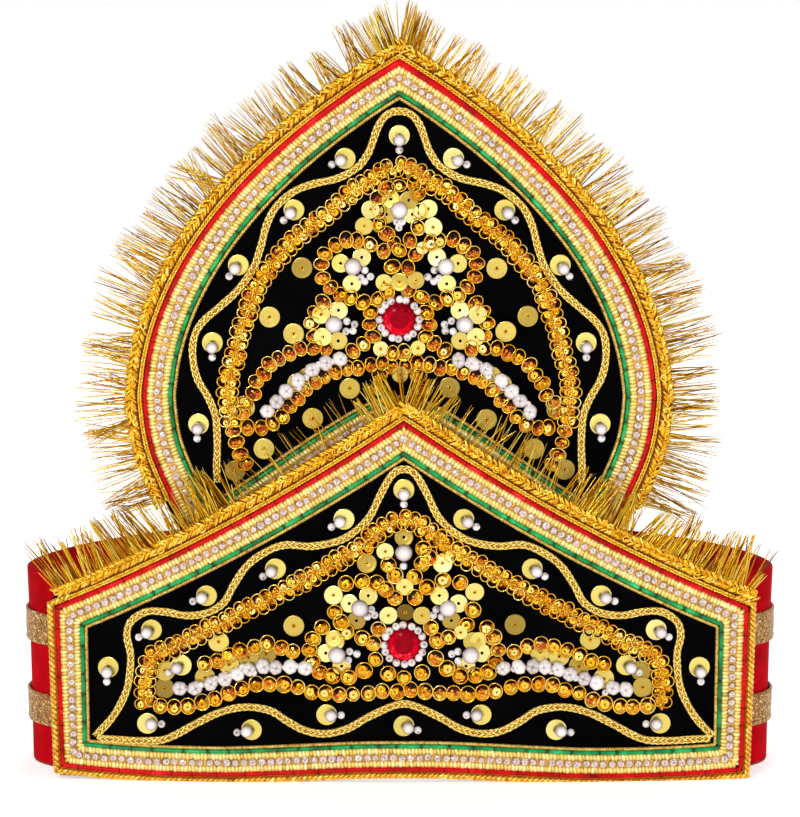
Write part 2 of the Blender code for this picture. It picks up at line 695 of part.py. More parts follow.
def crown():
    clear_scene()
    front_line = front_red_line()
    crest_line = crest_red_line()
    front_panel()
    crest_panel()
    head_band()
    board_trims("front", FRONT, front_line)
    board_trims("crest", CREST, crest_line)
    slope = front_line[:FRONT_SLOPE_STEPS + 1]
    fringe("front_fringe", FRONT, mirrored(slope[1:]) + slope, FRONT_LOCKS)
    leaf = [place for place in crest_line[:CREST_LEAF_STEPS + CREST_LOWER_STEPS]
            if place[1] > CREST_FRINGE_END]
    fringe("crest_fringe", CREST, mirrored(leaf[1:]) + leaf, CREST_LOCKS)
    front_edge_cord()
    wave_cords()
    chain_field("crest_ring_chain", CREST, CREST_CHAINS)
    chain_field("front_ring_chain", FRONT, FRONT_CHAINS)
    for label, board, route in (("crest", CREST, CREST_STRING), ("front", FRONT, FRONT_STRING)):
        pearl_string(f"{label}_pearl_string_right", board, route)
        pearl_string(f"{label}_pearl_string_left", board, mirrored(route))
    jewels("crest", CREST, CREST_LARGE_PEARLS, CREST_SETS, CREST_STONE)
    jewels("front", FRONT, FRONT_LARGE_PEARLS, FRONT_SETS, FRONT_STONE)


crown()
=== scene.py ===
# Velvet crown: a low front board and a tall crest board in black velvet on a red head band.
# All sizes are in millimetres until a mesh is made; side, height and out follow a board.
import math
import bpy
import numpy as np
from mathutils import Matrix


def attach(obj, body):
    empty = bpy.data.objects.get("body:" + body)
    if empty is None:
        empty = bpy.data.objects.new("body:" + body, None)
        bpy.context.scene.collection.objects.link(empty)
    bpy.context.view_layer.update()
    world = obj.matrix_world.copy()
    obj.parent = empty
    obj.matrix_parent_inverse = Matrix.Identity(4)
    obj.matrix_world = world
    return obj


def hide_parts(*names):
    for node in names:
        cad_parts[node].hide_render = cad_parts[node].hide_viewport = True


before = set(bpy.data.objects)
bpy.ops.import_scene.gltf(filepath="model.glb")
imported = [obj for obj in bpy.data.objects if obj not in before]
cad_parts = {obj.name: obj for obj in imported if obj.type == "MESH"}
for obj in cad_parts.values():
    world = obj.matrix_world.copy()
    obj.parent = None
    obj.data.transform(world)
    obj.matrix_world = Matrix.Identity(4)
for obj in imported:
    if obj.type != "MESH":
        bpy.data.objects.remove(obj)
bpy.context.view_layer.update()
millimetre = 0.001
fullTurn = 2.0 * math.pi

# The boards as the model has them: shift to the right, depth of the face, spread of the trims
bend = {"radius": 900.0, "faceDepth": -68.336, "seat": 0.3, "boardThick": 2.5}
frontBoard = {"name": "front", "shift": 1.1, "face": 0.0, "spread": 1.0}
crestBoard = {"name": "crest", "shift": -0.2, "face": -5.3, "spread": 1.04}


# Camera, floor and lights

view = {"rise": 6.7, "distance": 1430.0, "lookHeight": 107.4, "lens": 222.4}

def setCamera():
    rise = math.radians(view["rise"])
    camera = bpy.data.objects.new("camera", bpy.data.cameras.new("camera"))
    bpy.context.collection.objects.link(camera)
    camera.location = (0.0,
                       (bend["faceDepth"] - view["distance"] * math.cos(rise)) * millimetre,
                       (view["lookHeight"] + view["distance"] * math.sin(rise)) * millimetre)
    camera.rotation_euler = (math.radians(90.0) - rise, 0.0, 0.0)
    camera.data.lens = view["lens"]
    camera.data.sensor_width = 36.0
    camera.data.clip_start = 0.05
    camera.data.clip_end = 50.0
    camera.data.dof.use_dof = False
    bpy.context.scene.camera = camera


studio = {
    "walls": {"From Min": 0.2, "From Max": 0.55, "To Min": 0.95, "To Max": 0.42},
    "floorSize": 40.0, "floorTone": (0.86, 0.86, 0.855), "floorGlow": 0.55,
    # place in metres, size, power, colour
    "key": ((-0.35, -1.3, 0.66), 0.24, 6.5, (1.0, 0.98, 0.95)),
    "fill": ((0.9, -1.0, 0.35), 0.6, 1.5, (0.96, 0.98, 1.0)),
    "back": ((0.2, 1.1, 0.9), 0.7, 5.0, (1.0, 0.98, 0.95)),
    "aim": (0.0, -0.06, 0.1),
}

def softLight(name):
    place, size, power, colour = studio[name]
    lamp = bpy.data.lights.new(name, "AREA")
    lamp.shape = "SQUARE"
    lamp.size = size
    lamp.energy = power
    lamp.color = colour
    light = bpy.data.objects.new(name, lamp)
    bpy.context.collection.objects.link(light)
    light.location = place
    away = np.array(place) - studio["aim"]
    flat = math.hypot(away[0], away[1])
    light.rotation_euler = (math.atan2(flat, away[2]), 0.0, math.atan2(away[0], -away[1]))


def setStudio():
    scene = bpy.context.scene
    scene.view_settings.view_transform = "Standard"
    world = bpy.data.worlds.new("studio")
    world.use_nodes = True
    place = addNode(world, "ShaderNodeTexCoord")
    apart = addNode(world, "ShaderNodeSeparateXYZ")
    ramp = addNode(world, "ShaderNodeMapRange", studio["walls"])     # walls under a darker ceiling
    linkUp(world, place.outputs["Generated"], apart.inputs["Vector"])
    linkUp(world, apart.outputs["Z"], ramp.inputs["Value"])
    linkUp(world, ramp.outputs["Result"], world.node_tree.nodes["Background"].inputs["Color"])
    scene.world = world
    reach = studio["floorSize"] / 2.0
    mesh = bpy.data.meshes.new("floor")
    mesh.from_pydata([(-reach, -reach, 0.0), (reach, -reach, 0.0), (reach, reach, 0.0),
                      (-reach, reach, 0.0)], [], [(0, 1, 2, 3)])
    floor = bpy.data.objects.new("floor", mesh)
    bpy.context.collection.objects.link(floor)
    mesh.materials.append(newFinish("pale floor", {     # lit from within, as a light table
        "Base Color": (*studio["floorTone"], 1.0), "Roughness": 0.8,
        "Emission Color": (1.0, 1.0, 1.0, 1.0), "Emission Strength": studio["floorGlow"]})[0])
    for name in ("key", "fill", "back"):
        softLight(name)


# Materials: small helpers, then one recipe for each finish

def tone(red, green, blue):        # a colour read from a picture, as light
    return tuple(((c / 255.0 + 0.055) / 1.055) ** 2.4 if c > 10 else c / 3295.0
                 for c in (red, green, blue))


def newFinish(name, sockets):
    material = bpy.data.materials.new(name)
    material.use_nodes = True
    shader = material.node_tree.nodes["Principled BSDF"]
    for socket, value in sockets.items():
        shader.inputs[socket].default_value = value
    return material, shader


def addNode(material, kind, sockets=(), **values):
    node = material.node_tree.nodes.new(kind)
    for name, value in values.items():
        setattr(node, name, value)
    for name, value in dict(sockets).items():
        node.inputs[name].default_value = value
    return node


def linkUp(material, output, target):
    material.node_tree.links.new(output, target)


def noiseOf(material, scale, detail=3.0):
    place = addNode(material, "ShaderNodeTexCoord")
    size = addNode(material, "ShaderNodeMapping", {"Scale": [scale] * 3})
    noise = addNode(material, "ShaderNodeTexNoise", {"Scale": 1.0, "Detail": detail})
    linkUp(material, place.outputs["Object"], size.inputs["Vector"])
    linkUp(material, size.outputs["Vector"], noise.inputs["Vector"])
    return noise.outputs["Fac"]


def colourBy(material, shader, source, tones):     # rows of place, red, green, blue
    ramp = addNode(material, "ShaderNodeValToRGB")
    stops = ramp.color_ramp.elements
    while len(stops) < len(tones):
        stops.new(0.5)
    for stop, (place, *colour) in zip(stops, tones):
        stop.position = place
        stop.color = (*tone(*colour), 1.0)
    linkUp(material, source, ramp.inputs["Fac"])
    linkUp(material, ramp.outputs["Color"], shader.inputs["Base Color"])


def glossBy(material, shader, source, low, high):
    gloss = addNode(material, "ShaderNodeMapRange", {"To Min": low, "To Max": high})
    linkUp(material, source, gloss.inputs["Value"])
    linkUp(material, gloss.outputs["Result"], shader.inputs["Roughness"])


def bumpBy(material, shader, source, height):
    bump = addNode(material, "ShaderNodeBump", {"Strength": 1.0, "Distance": height * millimetre})
    linkUp(material, source, bump.inputs["Height"])
    linkUp(material, bump.outputs["Normal"], shader.inputs["Normal"])


def mathNode(material, kind, first, second):
    node = addNode(material, "ShaderNodeMath", operation=kind)
    for socket, value in zip(node.inputs, (first, second)):
        if isinstance(value, (int, float)):
            socket.default_value = value
        else:
            linkUp(material, value, socket)
    return node.outputs["Value"]


def tintedFinish(name, tones, rough, metal, grain, grainShare, bumpHeight, roughShare=0.12,
                 sockets=()):
    # each bead or strand has its own tint, which in many pieces also carries painted light and shade;
    # fine noise breaks it up, and drives gloss and bump
    material, shader = newFinish(name, {"Metallic": metal, **dict(sockets)})
    tint = addNode(material, "ShaderNodeAttribute", attribute_name="tint")
    noise = noiseOf(material, grain)
    shift = mathNode(material, "SUBTRACT", noise, 0.5)
    shift = mathNode(material, "MULTIPLY", shift, grainShare)
    colourBy(material, shader, mathNode(material, "ADD", tint.outputs["Fac"], shift), tones)
    glossBy(material, shader, noise, max(0.0, rough - roughShare), min(1.0, rough + roughShare))
    if bumpHeight > 0.0:
        bumpBy(material, shader, noise, bumpHeight)
    return material


def coat(weight, rough):
    return {"Coat Weight": weight, "Coat Roughness": rough}


mirrorLevel = "Specular IOR Level"

# tones from dark to pale as (tint, red, green, blue), then roughness, metal, scale of the grain,
# its share of the tint, bump height, spread of the roughness and other sockets
finishRows = {
    "tinsel": ("gold tinsel", [(0, 88, 46, 4), (0.25, 165, 100, 8), (0.55, 228, 162, 18),
        (0.8, 250, 206, 55), (1, 255, 232, 120)], 0.28, 1.0, 260.0, 0.4, 0.0),
    "braid": ("gold braid yarn", [(0, 145, 76, 6), (0.35, 218, 150, 18), (0.65, 247, 194, 45),
        (1, 255, 236, 125)], 0.3, 0.85, 1500.0, 0.4, 0.05),
    "braidShadow": ("braid shadow", [(0, 80, 34, 4), (0.6, 150, 80, 10), (1, 205, 135, 25)],
        0.5, 0.6, 900.0, 0.6, 0.08),
    "edgeCord": ("twisted edge cord", [(0, 135, 80, 12), (0.4, 212, 148, 34),
        (0.75, 244, 198, 76), (1, 255, 242, 165)], 0.3, 0.85, 1800.0, 0.45, 0.05),
    "orangeCord": ("orange-gold cord", [(0, 90, 20, 8), (0.5, 178, 78, 15), (1, 232, 150, 40)],
        0.4, 0.7, 1500.0, 0.4, 0.04),
    "gimp": ("pale gold gimp", [(0, 105, 60, 16), (0.3, 188, 138, 52), (0.6, 230, 192, 92),
        (0.85, 246, 220, 130), (1, 253, 238, 172)], 0.38, 0.55, 2200.0, 0.35, 0.04),
    "gimpGround": ("gimp ground", [(0, 105, 55, 12), (0.6, 188, 128, 45), (1, 232, 185, 88)],
        0.5, 0.5, 1200.0, 0.6, 0.06),
    "waveCord": ("plaited gold cord", [(0, 120, 66, 8), (0.35, 205, 142, 28),
        (0.65, 244, 200, 72), (1, 255, 240, 155)], 0.3, 0.85, 1800.0, 0.3, 0.05),
    "redSatin": ("red satin piping", [(0, 80, 0, 4), (0.4, 184, 0, 8), (0.75, 214, 0, 16),
        (1, 242, 45, 55)], 0.42, 0.0, 500.0, 0.7, 0.06, 0.12, {
            **coat(0.03, 0.3), mirrorLevel: 0.12}),
    "greenSatin": ("green satin piping", [(0, 0, 26, 12), (0.35, 0, 110, 56), (0.7, 0, 166, 86),
        (1, 55, 208, 128)], 0.36, 0.0, 500.0, 0.7, 0.06, 0.12, {
            **coat(0.08, 0.25), mirrorLevel: 0.25}),
    "crystal": ("clear crystal", [(0, 60, 48, 48), (0.25, 140, 116, 112), (0.5, 200, 174, 170),
        (1, 245, 230, 226)], 0.08, 0.3, 900.0, 0.15, 0.0, 0.12, coat(0.6, 0.03)),
    "setting": ("crystal setting", [(0, 85, 48, 18), (0.5, 172, 120, 55), (1, 235, 195, 120)],
        0.35, 0.8, 1500.0, 0.4, 0.03),
    "cupRim": ("gold cup rim", [(0, 175, 98, 8), (0.4, 238, 168, 25), (0.75, 252, 206, 70),
        (1, 255, 234, 140)], 0.18, 1.0, 900.0, 0.3, 0.02),
    "cupHollow": ("cup hollow", [(0, 6, 4, 3), (0.2, 55, 14, 3), (0.36, 165, 48, 4),
        (0.5, 228, 132, 10), (0.68, 252, 200, 35), (1, 255, 236, 110)],
        0.22, 0.6, 1200.0, 0.3, 0.03, 0.12, {mirrorLevel: 0.3}),
    "amberBead": ("amber bead", [(0, 80, 12, 2), (0.3, 190, 52, 4), (0.55, 238, 136, 12),
        (0.8, 252, 196, 45), (1, 255, 236, 125)], 0.14, 0.65, 900.0, 0.4, 0.0, 0.12,
        coat(0.4, 0.05)),
    "sequin": ("pale gold sequin", [(0, 118, 90, 30), (0.35, 198, 168, 72), (0.7, 236, 214, 112),
        (1, 250, 236, 160)], 0.26, 0.75, 350.0, 0.1, 0.01, 0.06),
    "pearl": ("pearl", [(0, 62, 52, 52), (0.4, 142, 128, 128), (0.75, 216, 205, 204),
        (1, 243, 236, 234)], 0.22, 0.0, 250.0, 0.2, 0.0, 0.05, coat(0.6, 0.12)),
    "seedPearl": ("seed pearl", [(0, 50, 40, 40), (0.35, 165, 150, 148), (0.7, 224, 214, 212),
        (1, 247, 241, 239)], 0.18, 0.0, 1400.0, 0.4, 0.0, 0.08, coat(0.7, 0.08)),
    "redStone": ("cut red stone", [(0, 80, 0, 10), (0.35, 160, 0, 24), (0.7, 222, 0, 30),
        (1, 255, 70, 95)], 0.08, 0.0, 300.0, 0.12, 0.0, 0.12, {mirrorLevel: 0.04}),
}
finishes = {name: tintedFinish(*row) for name, row in finishRows.items()}


def velvetFinish():
    material, shader = newFinish("black velvet", {
        "Roughness": 0.95, mirrorLevel: 0.02, "Sheen Weight": 0.012, "Sheen Roughness": 0.4,
        "Sheen Tint": (0.5, 0.45, 0.5, 1.0)})
    nap, pile = noiseOf(material, 60.0, 4.0), noiseOf(material, 4500.0, 2.0)
    colourBy(material, shader, nap, [(0.3, 1.977, 1.6475, 1.977), (0.7, 6.59, 5.6015, 6.2605)])
    bumpBy(material, shader, pile, 0.06)
    return material


def clothFinish(name, tones, thread, bumpHeight, sheen):
    # a plain weave: two sets of threads as waves, crossed with soft blotches
    material, shader = newFinish(name, {"Roughness": 0.85, mirrorLevel: 0.03,
                                        "Sheen Weight": sheen, "Sheen Roughness": 0.5})
    place = addNode(material, "ShaderNodeUVMap", uv_map="cloth")
    threads = []
    for direction in ("X", "Y"):
        wave = addNode(material, "ShaderNodeTexWave", {
            "Scale": 0.1 * math.pi / thread, "Distortion": 1.2, "Detail": 1.0,
            "Detail Scale": 0.8}, bands_direction=direction)
        linkUp(material, place.outputs["UV"], wave.inputs["Vector"])
        threads.append(wave.outputs["Fac"])
    weave = mathNode(material, "MULTIPLY", *threads)
    shade = mathNode(material, "MULTIPLY", weave, 0.16)
    shade = mathNode(material, "ADD", noiseOf(material, 70.0, 4.0), shade)
    shade = mathNode(material, "SUBTRACT", shade, 0.05)
    colourBy(material, shader, shade, tones)
    bumpBy(material, shader, weave, bumpHeight)
    return material


def glitterFinish():
    # tiny flakes: every cell has its own colour, gloss and slope
    material, shader = newFinish("gold glitter tape", {"Metallic": 0.55})
    place = addNode(material, "ShaderNodeTexCoord")
    flakes = addNode(material, "ShaderNodeTexVoronoi", {"Scale": 2300.0})
    apart = addNode(material, "ShaderNodeSeparateColor")
    linkUp(material, place.outputs["Object"], flakes.inputs["Vector"])
    linkUp(material, flakes.outputs["Color"], apart.inputs["Color"])
    colourBy(material, shader, apart.outputs["Red"], [
        (0, 84, 42, 10), (0.3, 140, 86, 28), (0.7, 182, 126, 50), (0.92, 220, 176, 90),
        (1, 252, 234, 170)])
    glossBy(material, shader, apart.outputs["Green"], 0.25, 0.7)
    bumpBy(material, shader, apart.outputs["Blue"], 0.12)
    return material


finishes["velvet"] = velvetFinish()
finishes["bandCloth"] = clothFinish("red band cloth", [(0.2, 148, 0, 10), (0.5, 184, 0, 16),
                                                       (0.8, 204, 2, 24)], 0.8, 0.03, 0.0)
# the foot of the band is brown, darker than its sides
finishes["brownBandFoot"] = clothFinish("brown band foot", [(0.25, 70, 35, 22), (0.8, 140, 80, 50)],
                                  0.4, 0.15, 0.1)
finishes["glitter"] = glitterFinish()
print("materials made:", len(finishes))


# Lines and curves in the plane of a board

def onBoard(board, points):
    angle = (points[:, 0] + board["shift"]) / bend["radius"]
    reach = bend["radius"] + board["face"] + points[:, 2]
    return np.stack([reach * np.sin(angle),
                     bend["faceDepth"] + bend["radius"] - reach * np.cos(angle),
                     points[:, 1]], 1) * millimetre


def bezier(controls, steps):
    level = np.array(controls, float)[:, None, :]
    part = np.linspace(0.0, 1.0, steps + 1)[None, :, None]
    while len(level) > 1:
        level = level[:-1] * (1.0 - part) + level[1:] * part
    return level[0]


def mirrored(points):
    return np.array(points, float)[::-1] * (-1.0, 1.0)


def lengthsAlong(points):
    steps = np.linalg.norm(np.diff(points, axis=0), axis=1)
    return np.concatenate([[0.0], np.cumsum(steps)])


def evenly(points, step):
    lengths = lengthsAlong(points)
    count = max(2, int(round(lengths[-1] / step)))
    wanted = np.linspace(0.0, lengths[-1], count + 1)
    return np.stack([np.interp(wanted, lengths, points[:, axis])
                     for axis in range(points.shape[1])], 1)


def smoothRoute(points, step, parts=16):
    points = np.array(points, float)
    padded = np.concatenate([points[:1], points, points[-1:]])
    p, q, r, s = (padded[k:len(padded) - 3 + k, None, :] for k in range(4))
    t = (np.arange(parts) / parts)[None, :, None]
    fine = 0.5 * (2 * q + (r - p) * t + (2 * p - 5 * q + 4 * r - s) * t * t
                  + (3 * q - p - 3 * r + s) * t ** 3)
    fine = np.concatenate([fine.reshape(-1, points.shape[1]), points[-1:]])
    return evenly(fine, step) if step else fine


def directions(path, closed=False):
    ahead = np.roll(path, -1, 0) - path
    behind = path - np.roll(path, 1, 0)
    if not closed:
        ahead[-1] = behind[-1]
        behind[0] = ahead[0]
    ahead /= np.linalg.norm(ahead, axis=1, keepdims=True) + 1e-9
    behind /= np.linalg.norm(behind, axis=1, keepdims=True) + 1e-9
    middle = ahead + behind
    return middle / (np.linalg.norm(middle, axis=1, keepdims=True) + 1e-9), ahead, behind


def inwards(path, closed=False):   # right-hand normals, longer at corners, as a mitre
    middle, ahead, behind = directions(path, closed)
    normal = np.stack([middle[:, 1], -middle[:, 0]], 1)
    edge = np.stack([ahead[:, 1], -ahead[:, 0]], 1)
    return normal / np.maximum(0.4, (normal * edge).sum(1))[:, None]


redLines = {
    "slope": [(0.0, 103.1), (48.9, 70.2), (98.6, 49.5)], "slopeSteps": 6,
    "bottom": [(97.2, 4.1), (84.0, 3.0), (68.0, 2.2), (52.0, 2.0), (38.0, 2.5), (15.0, 3.6),
               (0.0, 3.8)],
    "lowerShare": 0.93, "sideShift": 0.6, "rightDrop": 1.3,
    "leaf": [(0.0, 205.3), (52.0, 174.1), (72.9, 138.0), (72.9, 108.0)], "leafSteps": 13,
    "lowerSide": [(72.9, 108.0), (72.9, 94.0), (66.0, 84.0), (58.0, 66.0)], "lowerSteps": 3,
    "lowestFringe": 79.0, "archTop": 101.5, "archRound": 5.0, "archSlope": 0.7,
    "archSides": [40.0, 25.0, 14.0, 7.0, 2.5, 0.0],
}

def archHeight(side):
    rise = np.hypot(redLines["archRound"], redLines["archSlope"] * side)
    return redLines["archTop"] - (rise - redLines["archRound"])


def redLine(board):                # the closed line of the red piping and its corners
    if board is frontBoard:
        half = bezier(redLines["slope"], redLines["slopeSteps"])
        half = np.concatenate([half, np.array(redLines["bottom"])])
        corners = [0, redLines["slopeSteps"], redLines["slopeSteps"] + 1]
    else:
        half = bezier(redLines["leaf"], redLines["leafSteps"])
        half = np.concatenate([half, bezier(redLines["lowerSide"], redLines["lowerSteps"])[1:]])
        corners = [0, len(half) - 1]
        sides = np.array(redLines["archSides"])
        half = np.concatenate([half, np.stack([sides, archHeight(sides)], 1)])
    line = np.concatenate([half, mirrored(half[1:-1])])
    if board is frontBoard:        # its sides sit a little to the left, its right corner low
        share = line[:, 0] / line[:, 0].max()
        low = (line[:, 1] < 20.0) * np.clip(share, 0.0, 1.0) ** 2
        line = line - np.stack([np.abs(share) * redLines["sideShift"],
                                low * redLines["rightDrop"]], 1)
    corners = corners + [len(line) - c for c in reversed(corners[1:])]
    return line, corners


def legsAt(board, across):         # the red line moved inwards, in smooth legs between corners
    line, corners = redLine(board)
    share = np.full((len(line), 1), board["spread"])
    if board is frontBoard and across > 0.0:        # the trims lie closer together low down
        share[line[:, 1] < 40.0] = redLines["lowerShare"]
    moved = line + inwards(line, True) * across * share
    moved = np.concatenate([moved, moved[:1]])
    return [smoothRoute(moved[a:b + 1], 0.0) for a, b in zip(corners, corners[1:] + [len(line)])]


def joined(legs):
    return np.concatenate([legs[0]] + [leg[1:] for leg in legs[1:]])


def loopAt(board, across, step):   # the whole closed line, evenly spread
    return evenly(joined(legsAt(board, across)), step)[:-1]


def topLine(board, across, step):  # the line that carries a fringe, from left to right
    legs = legsAt(board, across)
    whole = joined([legs[-1], legs[0]])
    if board is crestBoard:
        whole = whole[whole[:, 1] > redLines["lowestFringe"]]
    return evenly(whole, step)


# Meshes from arrays

def tubes(paths, radius, sides=5, reference=(0.0, 0.0, 1.0), closed=False, flat=1.0, turn=0.0):
    # one tube along each path; paths is (count, steps, 3)
    count, steps = paths.shape[:2]
    if closed:
        along = np.roll(paths, -1, 1) - np.roll(paths, 1, 1)
    else:
        along = np.gradient(paths, axis=1)
    along /= np.linalg.norm(along, axis=2, keepdims=True) + 1e-9
    sideways = np.cross(along, np.broadcast_to(reference, paths.shape))
    sideways /= np.linalg.norm(sideways, axis=2, keepdims=True) + 1e-9
    upwards = np.cross(sideways, along)
    turn = np.broadcast_to(turn, (count, steps))[:, :, None]
    wide = np.cos(turn) * sideways + np.sin(turn) * upwards
    high = np.cos(turn) * upwards - np.sin(turn) * sideways
    angle = fullTurn * np.arange(sides) / sides
    radius = np.broadcast_to(radius, (count, steps))[:, :, None, None]
    points = (paths[:, :, None, :] + radius * np.cos(angle)[None, None, :, None] * wide[:, :, None, :]
              + radius * flat * np.sin(angle)[None, None, :, None] * high[:, :, None, :])
    rows = np.arange(steps if closed else steps - 1)
    here = rows[:, None] * sides + np.arange(sides)[None, :]
    after = ((rows + 1) % steps)[:, None] * sides + np.arange(sides)[None, :]
    faces = np.stack([here, after, np.roll(after, -1, 1), np.roll(here, -1, 1)], 2).reshape(-1, 4)
    faces = (faces[None] + (np.arange(count) * steps * sides)[:, None, None]).reshape(-1, 4)
    return points.reshape(-1, 3), [faces]


def spun(radii, outs, sides, twist=0.0):       # rings of points about the out direction
    around = fullTurn * (np.arange(sides) + twist) / sides
    return np.stack([np.outer(radii, np.cos(around)), np.outer(radii, np.sin(around)),
                     np.outer(outs, np.ones(sides))], 2).reshape(-1, 3)


def ball(rows, sides):
    polar = np.pi * np.arange(1, rows) / rows
    rings = spun(np.sin(polar), np.cos(polar), sides)
    points = np.concatenate([[(0.0, 0.0, 1.0)], rings, [(0.0, 0.0, -1.0)]])
    k = np.arange(sides)
    beyond = (k + 1) % sides
    start = 1 + np.arange(rows - 2)[:, None] * sides
    quads = np.stack([start + k, start + sides + k, start + sides + beyond, start + beyond], 2)
    low = 1 + (rows - 2) * sides
    ends = np.concatenate([np.stack([0 * k, 1 + k, 1 + beyond], 1),
                           np.stack([0 * k + len(points) - 1, low + beyond, low + k], 1)])
    return points, [quads.reshape(-1, 4), ends]


def turned(profile, sides):        # a profile of (radius, out) turned about the out direction
    points = spun(*np.array(profile, float).T, sides)
    k = np.arange(sides)
    start = np.arange(len(profile) - 1)[:, None] * sides
    beyond = (k + 1) % sides
    faces = np.stack([start + k, start + beyond, start + sides + beyond, start + sides + k], 2)
    return points, [faces.reshape(-1, 4)]


def facetted(template):            # every face gets its own corners, so each has its own tint
    points, faces = template
    corners, apart, base = [], [], 0
    for group in faces:
        corners.append(points[group].reshape(-1, 3))
        apart.append(base + np.arange(group.size).reshape(group.shape))
        base += group.size
    return np.concatenate(corners), apart


def placedAt(origins, points, axes):
    return origins[:, None, :] + np.einsum("nk,mkj->mnj", points, axes)


def copies(template, origins, axes):
    points, faces = template
    step = len(points) * np.arange(len(origins))
    return placedAt(origins, points, axes).reshape(-1, 3), [
        (f[None] + step[:, None, None]).reshape(-1, f.shape[1]) for f in faces]


def lying(angle, size, tilt=0.0, toward=0.0):
    # axes of things that lie on a board, turned by angle, leaning by tilt towards a direction
    angle, tilt, toward = np.broadcast_arrays(*np.atleast_1d(angle, tilt, toward))
    zero = np.zeros(len(angle))
    lean = np.stack([np.cos(toward), np.sin(toward), zero], 1)
    across = np.stack([-np.sin(toward), np.cos(toward), zero], 1)
    out = np.array([(0.0, 0.0, 1.0)])
    c, s = np.cos(tilt)[:, None], np.sin(tilt)[:, None]
    normal = out * c + lean * s
    flat = lean * c - out * s
    turn = (angle - toward)[:, None]
    first = np.cos(turn) * flat + np.sin(turn) * across
    second = np.cross(normal, first)
    size = np.broadcast_to(size, (len(angle), 3))
    return np.stack([first * size[:, :1], second * size[:, 1:2], normal * size[:, 2:]], 1)


def part(shape, material=0, tint=0.5, smooth=True):
    points, faces = shape
    tint = np.broadcast_to(np.asarray(tint, float), (len(points),))
    return {"points": points, "faces": faces, "material": material, "tint": tint,
            "smooth": smooth}


def diceFor(board, seed):          # seeded random numbers, other ones for each board
    return np.random.default_rng(seed if board is frontBoard else seed + 1)


def tints(chance, middle, spread, count, each=1, least=0.0):
    return np.repeat(np.clip(chance.normal(middle, spread, count), least, 1), each)


def makePiece(node, parts, materials, board, replaces=True, uv=None):
    # a piece has its node's name with dashes, and stands for the node unless there is none
    corners, sizes, slots, soft, base = [], [], [], [], 0
    for each in parts:
        for group in each["faces"]:
            corners.append((group + base).ravel())
            sizes.append(np.full(len(group), group.shape[1]))
            slots.append(np.full(len(group), each["material"]))
            soft.append(np.full(len(group), each["smooth"]))
        base += len(each["points"])
    points = np.concatenate([each["points"] for each in parts])
    placed = onBoard(board, points) if board else points * millimetre
    corners, sizes = np.concatenate(corners), np.concatenate(sizes)
    name = node.replace("_", "-")
    mesh = bpy.data.meshes.new(name)
    mesh.vertices.add(len(placed))
    mesh.vertices.foreach_set("co", placed.astype(np.float32).ravel())
    mesh.loops.add(len(corners))
    mesh.loops.foreach_set("vertex_index", corners.astype(np.int32))
    mesh.polygons.add(len(sizes))
    starts = np.concatenate([[0], np.cumsum(sizes)[:-1]])
    mesh.polygons.foreach_set("loop_start", starts.astype(np.int32))
    for key in materials:
        mesh.materials.append(finishes[key])
    mesh.polygons.foreach_set("material_index", np.concatenate(slots).astype(np.int32))
    mesh.polygons.foreach_set("use_smooth", np.concatenate(soft))
    tint = mesh.attributes.new("tint", "FLOAT", "POINT")
    tint.data.foreach_set("value", np.concatenate([e["tint"] for e in parts]).astype(np.float32))
    if uv is not None:
        layer = mesh.uv_layers.new(name="cloth")
        layer.data.foreach_set("uv", uv[corners].astype(np.float32).ravel())
    mesh.update(calc_edges=True)
    piece = bpy.data.objects.new(name, mesh)
    bpy.context.collection.objects.link(piece)
    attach(piece, "root")
    if replaces:
        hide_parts(node)
    print("piece", name, "faces", len(sizes))
    return piece


def alongPath(path, out):          # a flat path with its height above the velvet
    return np.concatenate([path, np.broadcast_to(out, len(path))[:, None]], 1)


def twisted(path, out, closed, strands, radius, yarn, pitch, sides=4, phase=0.0):
    # strands laid helically round a line; a closed line takes a whole number of turns
    lengths = lengthsAlong(path)
    if closed:
        total = lengths[-1] + np.linalg.norm(path[0] - path[-1])
        pitch = total / max(1, round(total / pitch))
    normal = inwards(path, closed)
    lines = []
    for number in range(strands):
        angle = fullTurn * (lengths / pitch + number / strands) + phase
        place = path + normal * (radius * np.cos(angle))[:, None]
        lines.append(alongPath(place, out + radius * np.sin(angle)))
    return tubes(np.array(lines), yarn, sides, closed=closed)


def plaited(path, out, width, depth, yarn, period, strands):
    # a flat plait: the yarns swing from edge to edge, over and under each other
    lengths = lengthsAlong(path)
    normal = inwards(path)
    lines = []
    for number in range(strands):
        angle = fullTurn * (lengths / period + number / strands)
        place = path + normal * (width * np.sin(angle))[:, None]
        lines.append(alongPath(place, out + depth * np.sin((strands / 2.0) * angle + 1.2 * number)))
    return tubes(np.array(lines), yarn, 4)


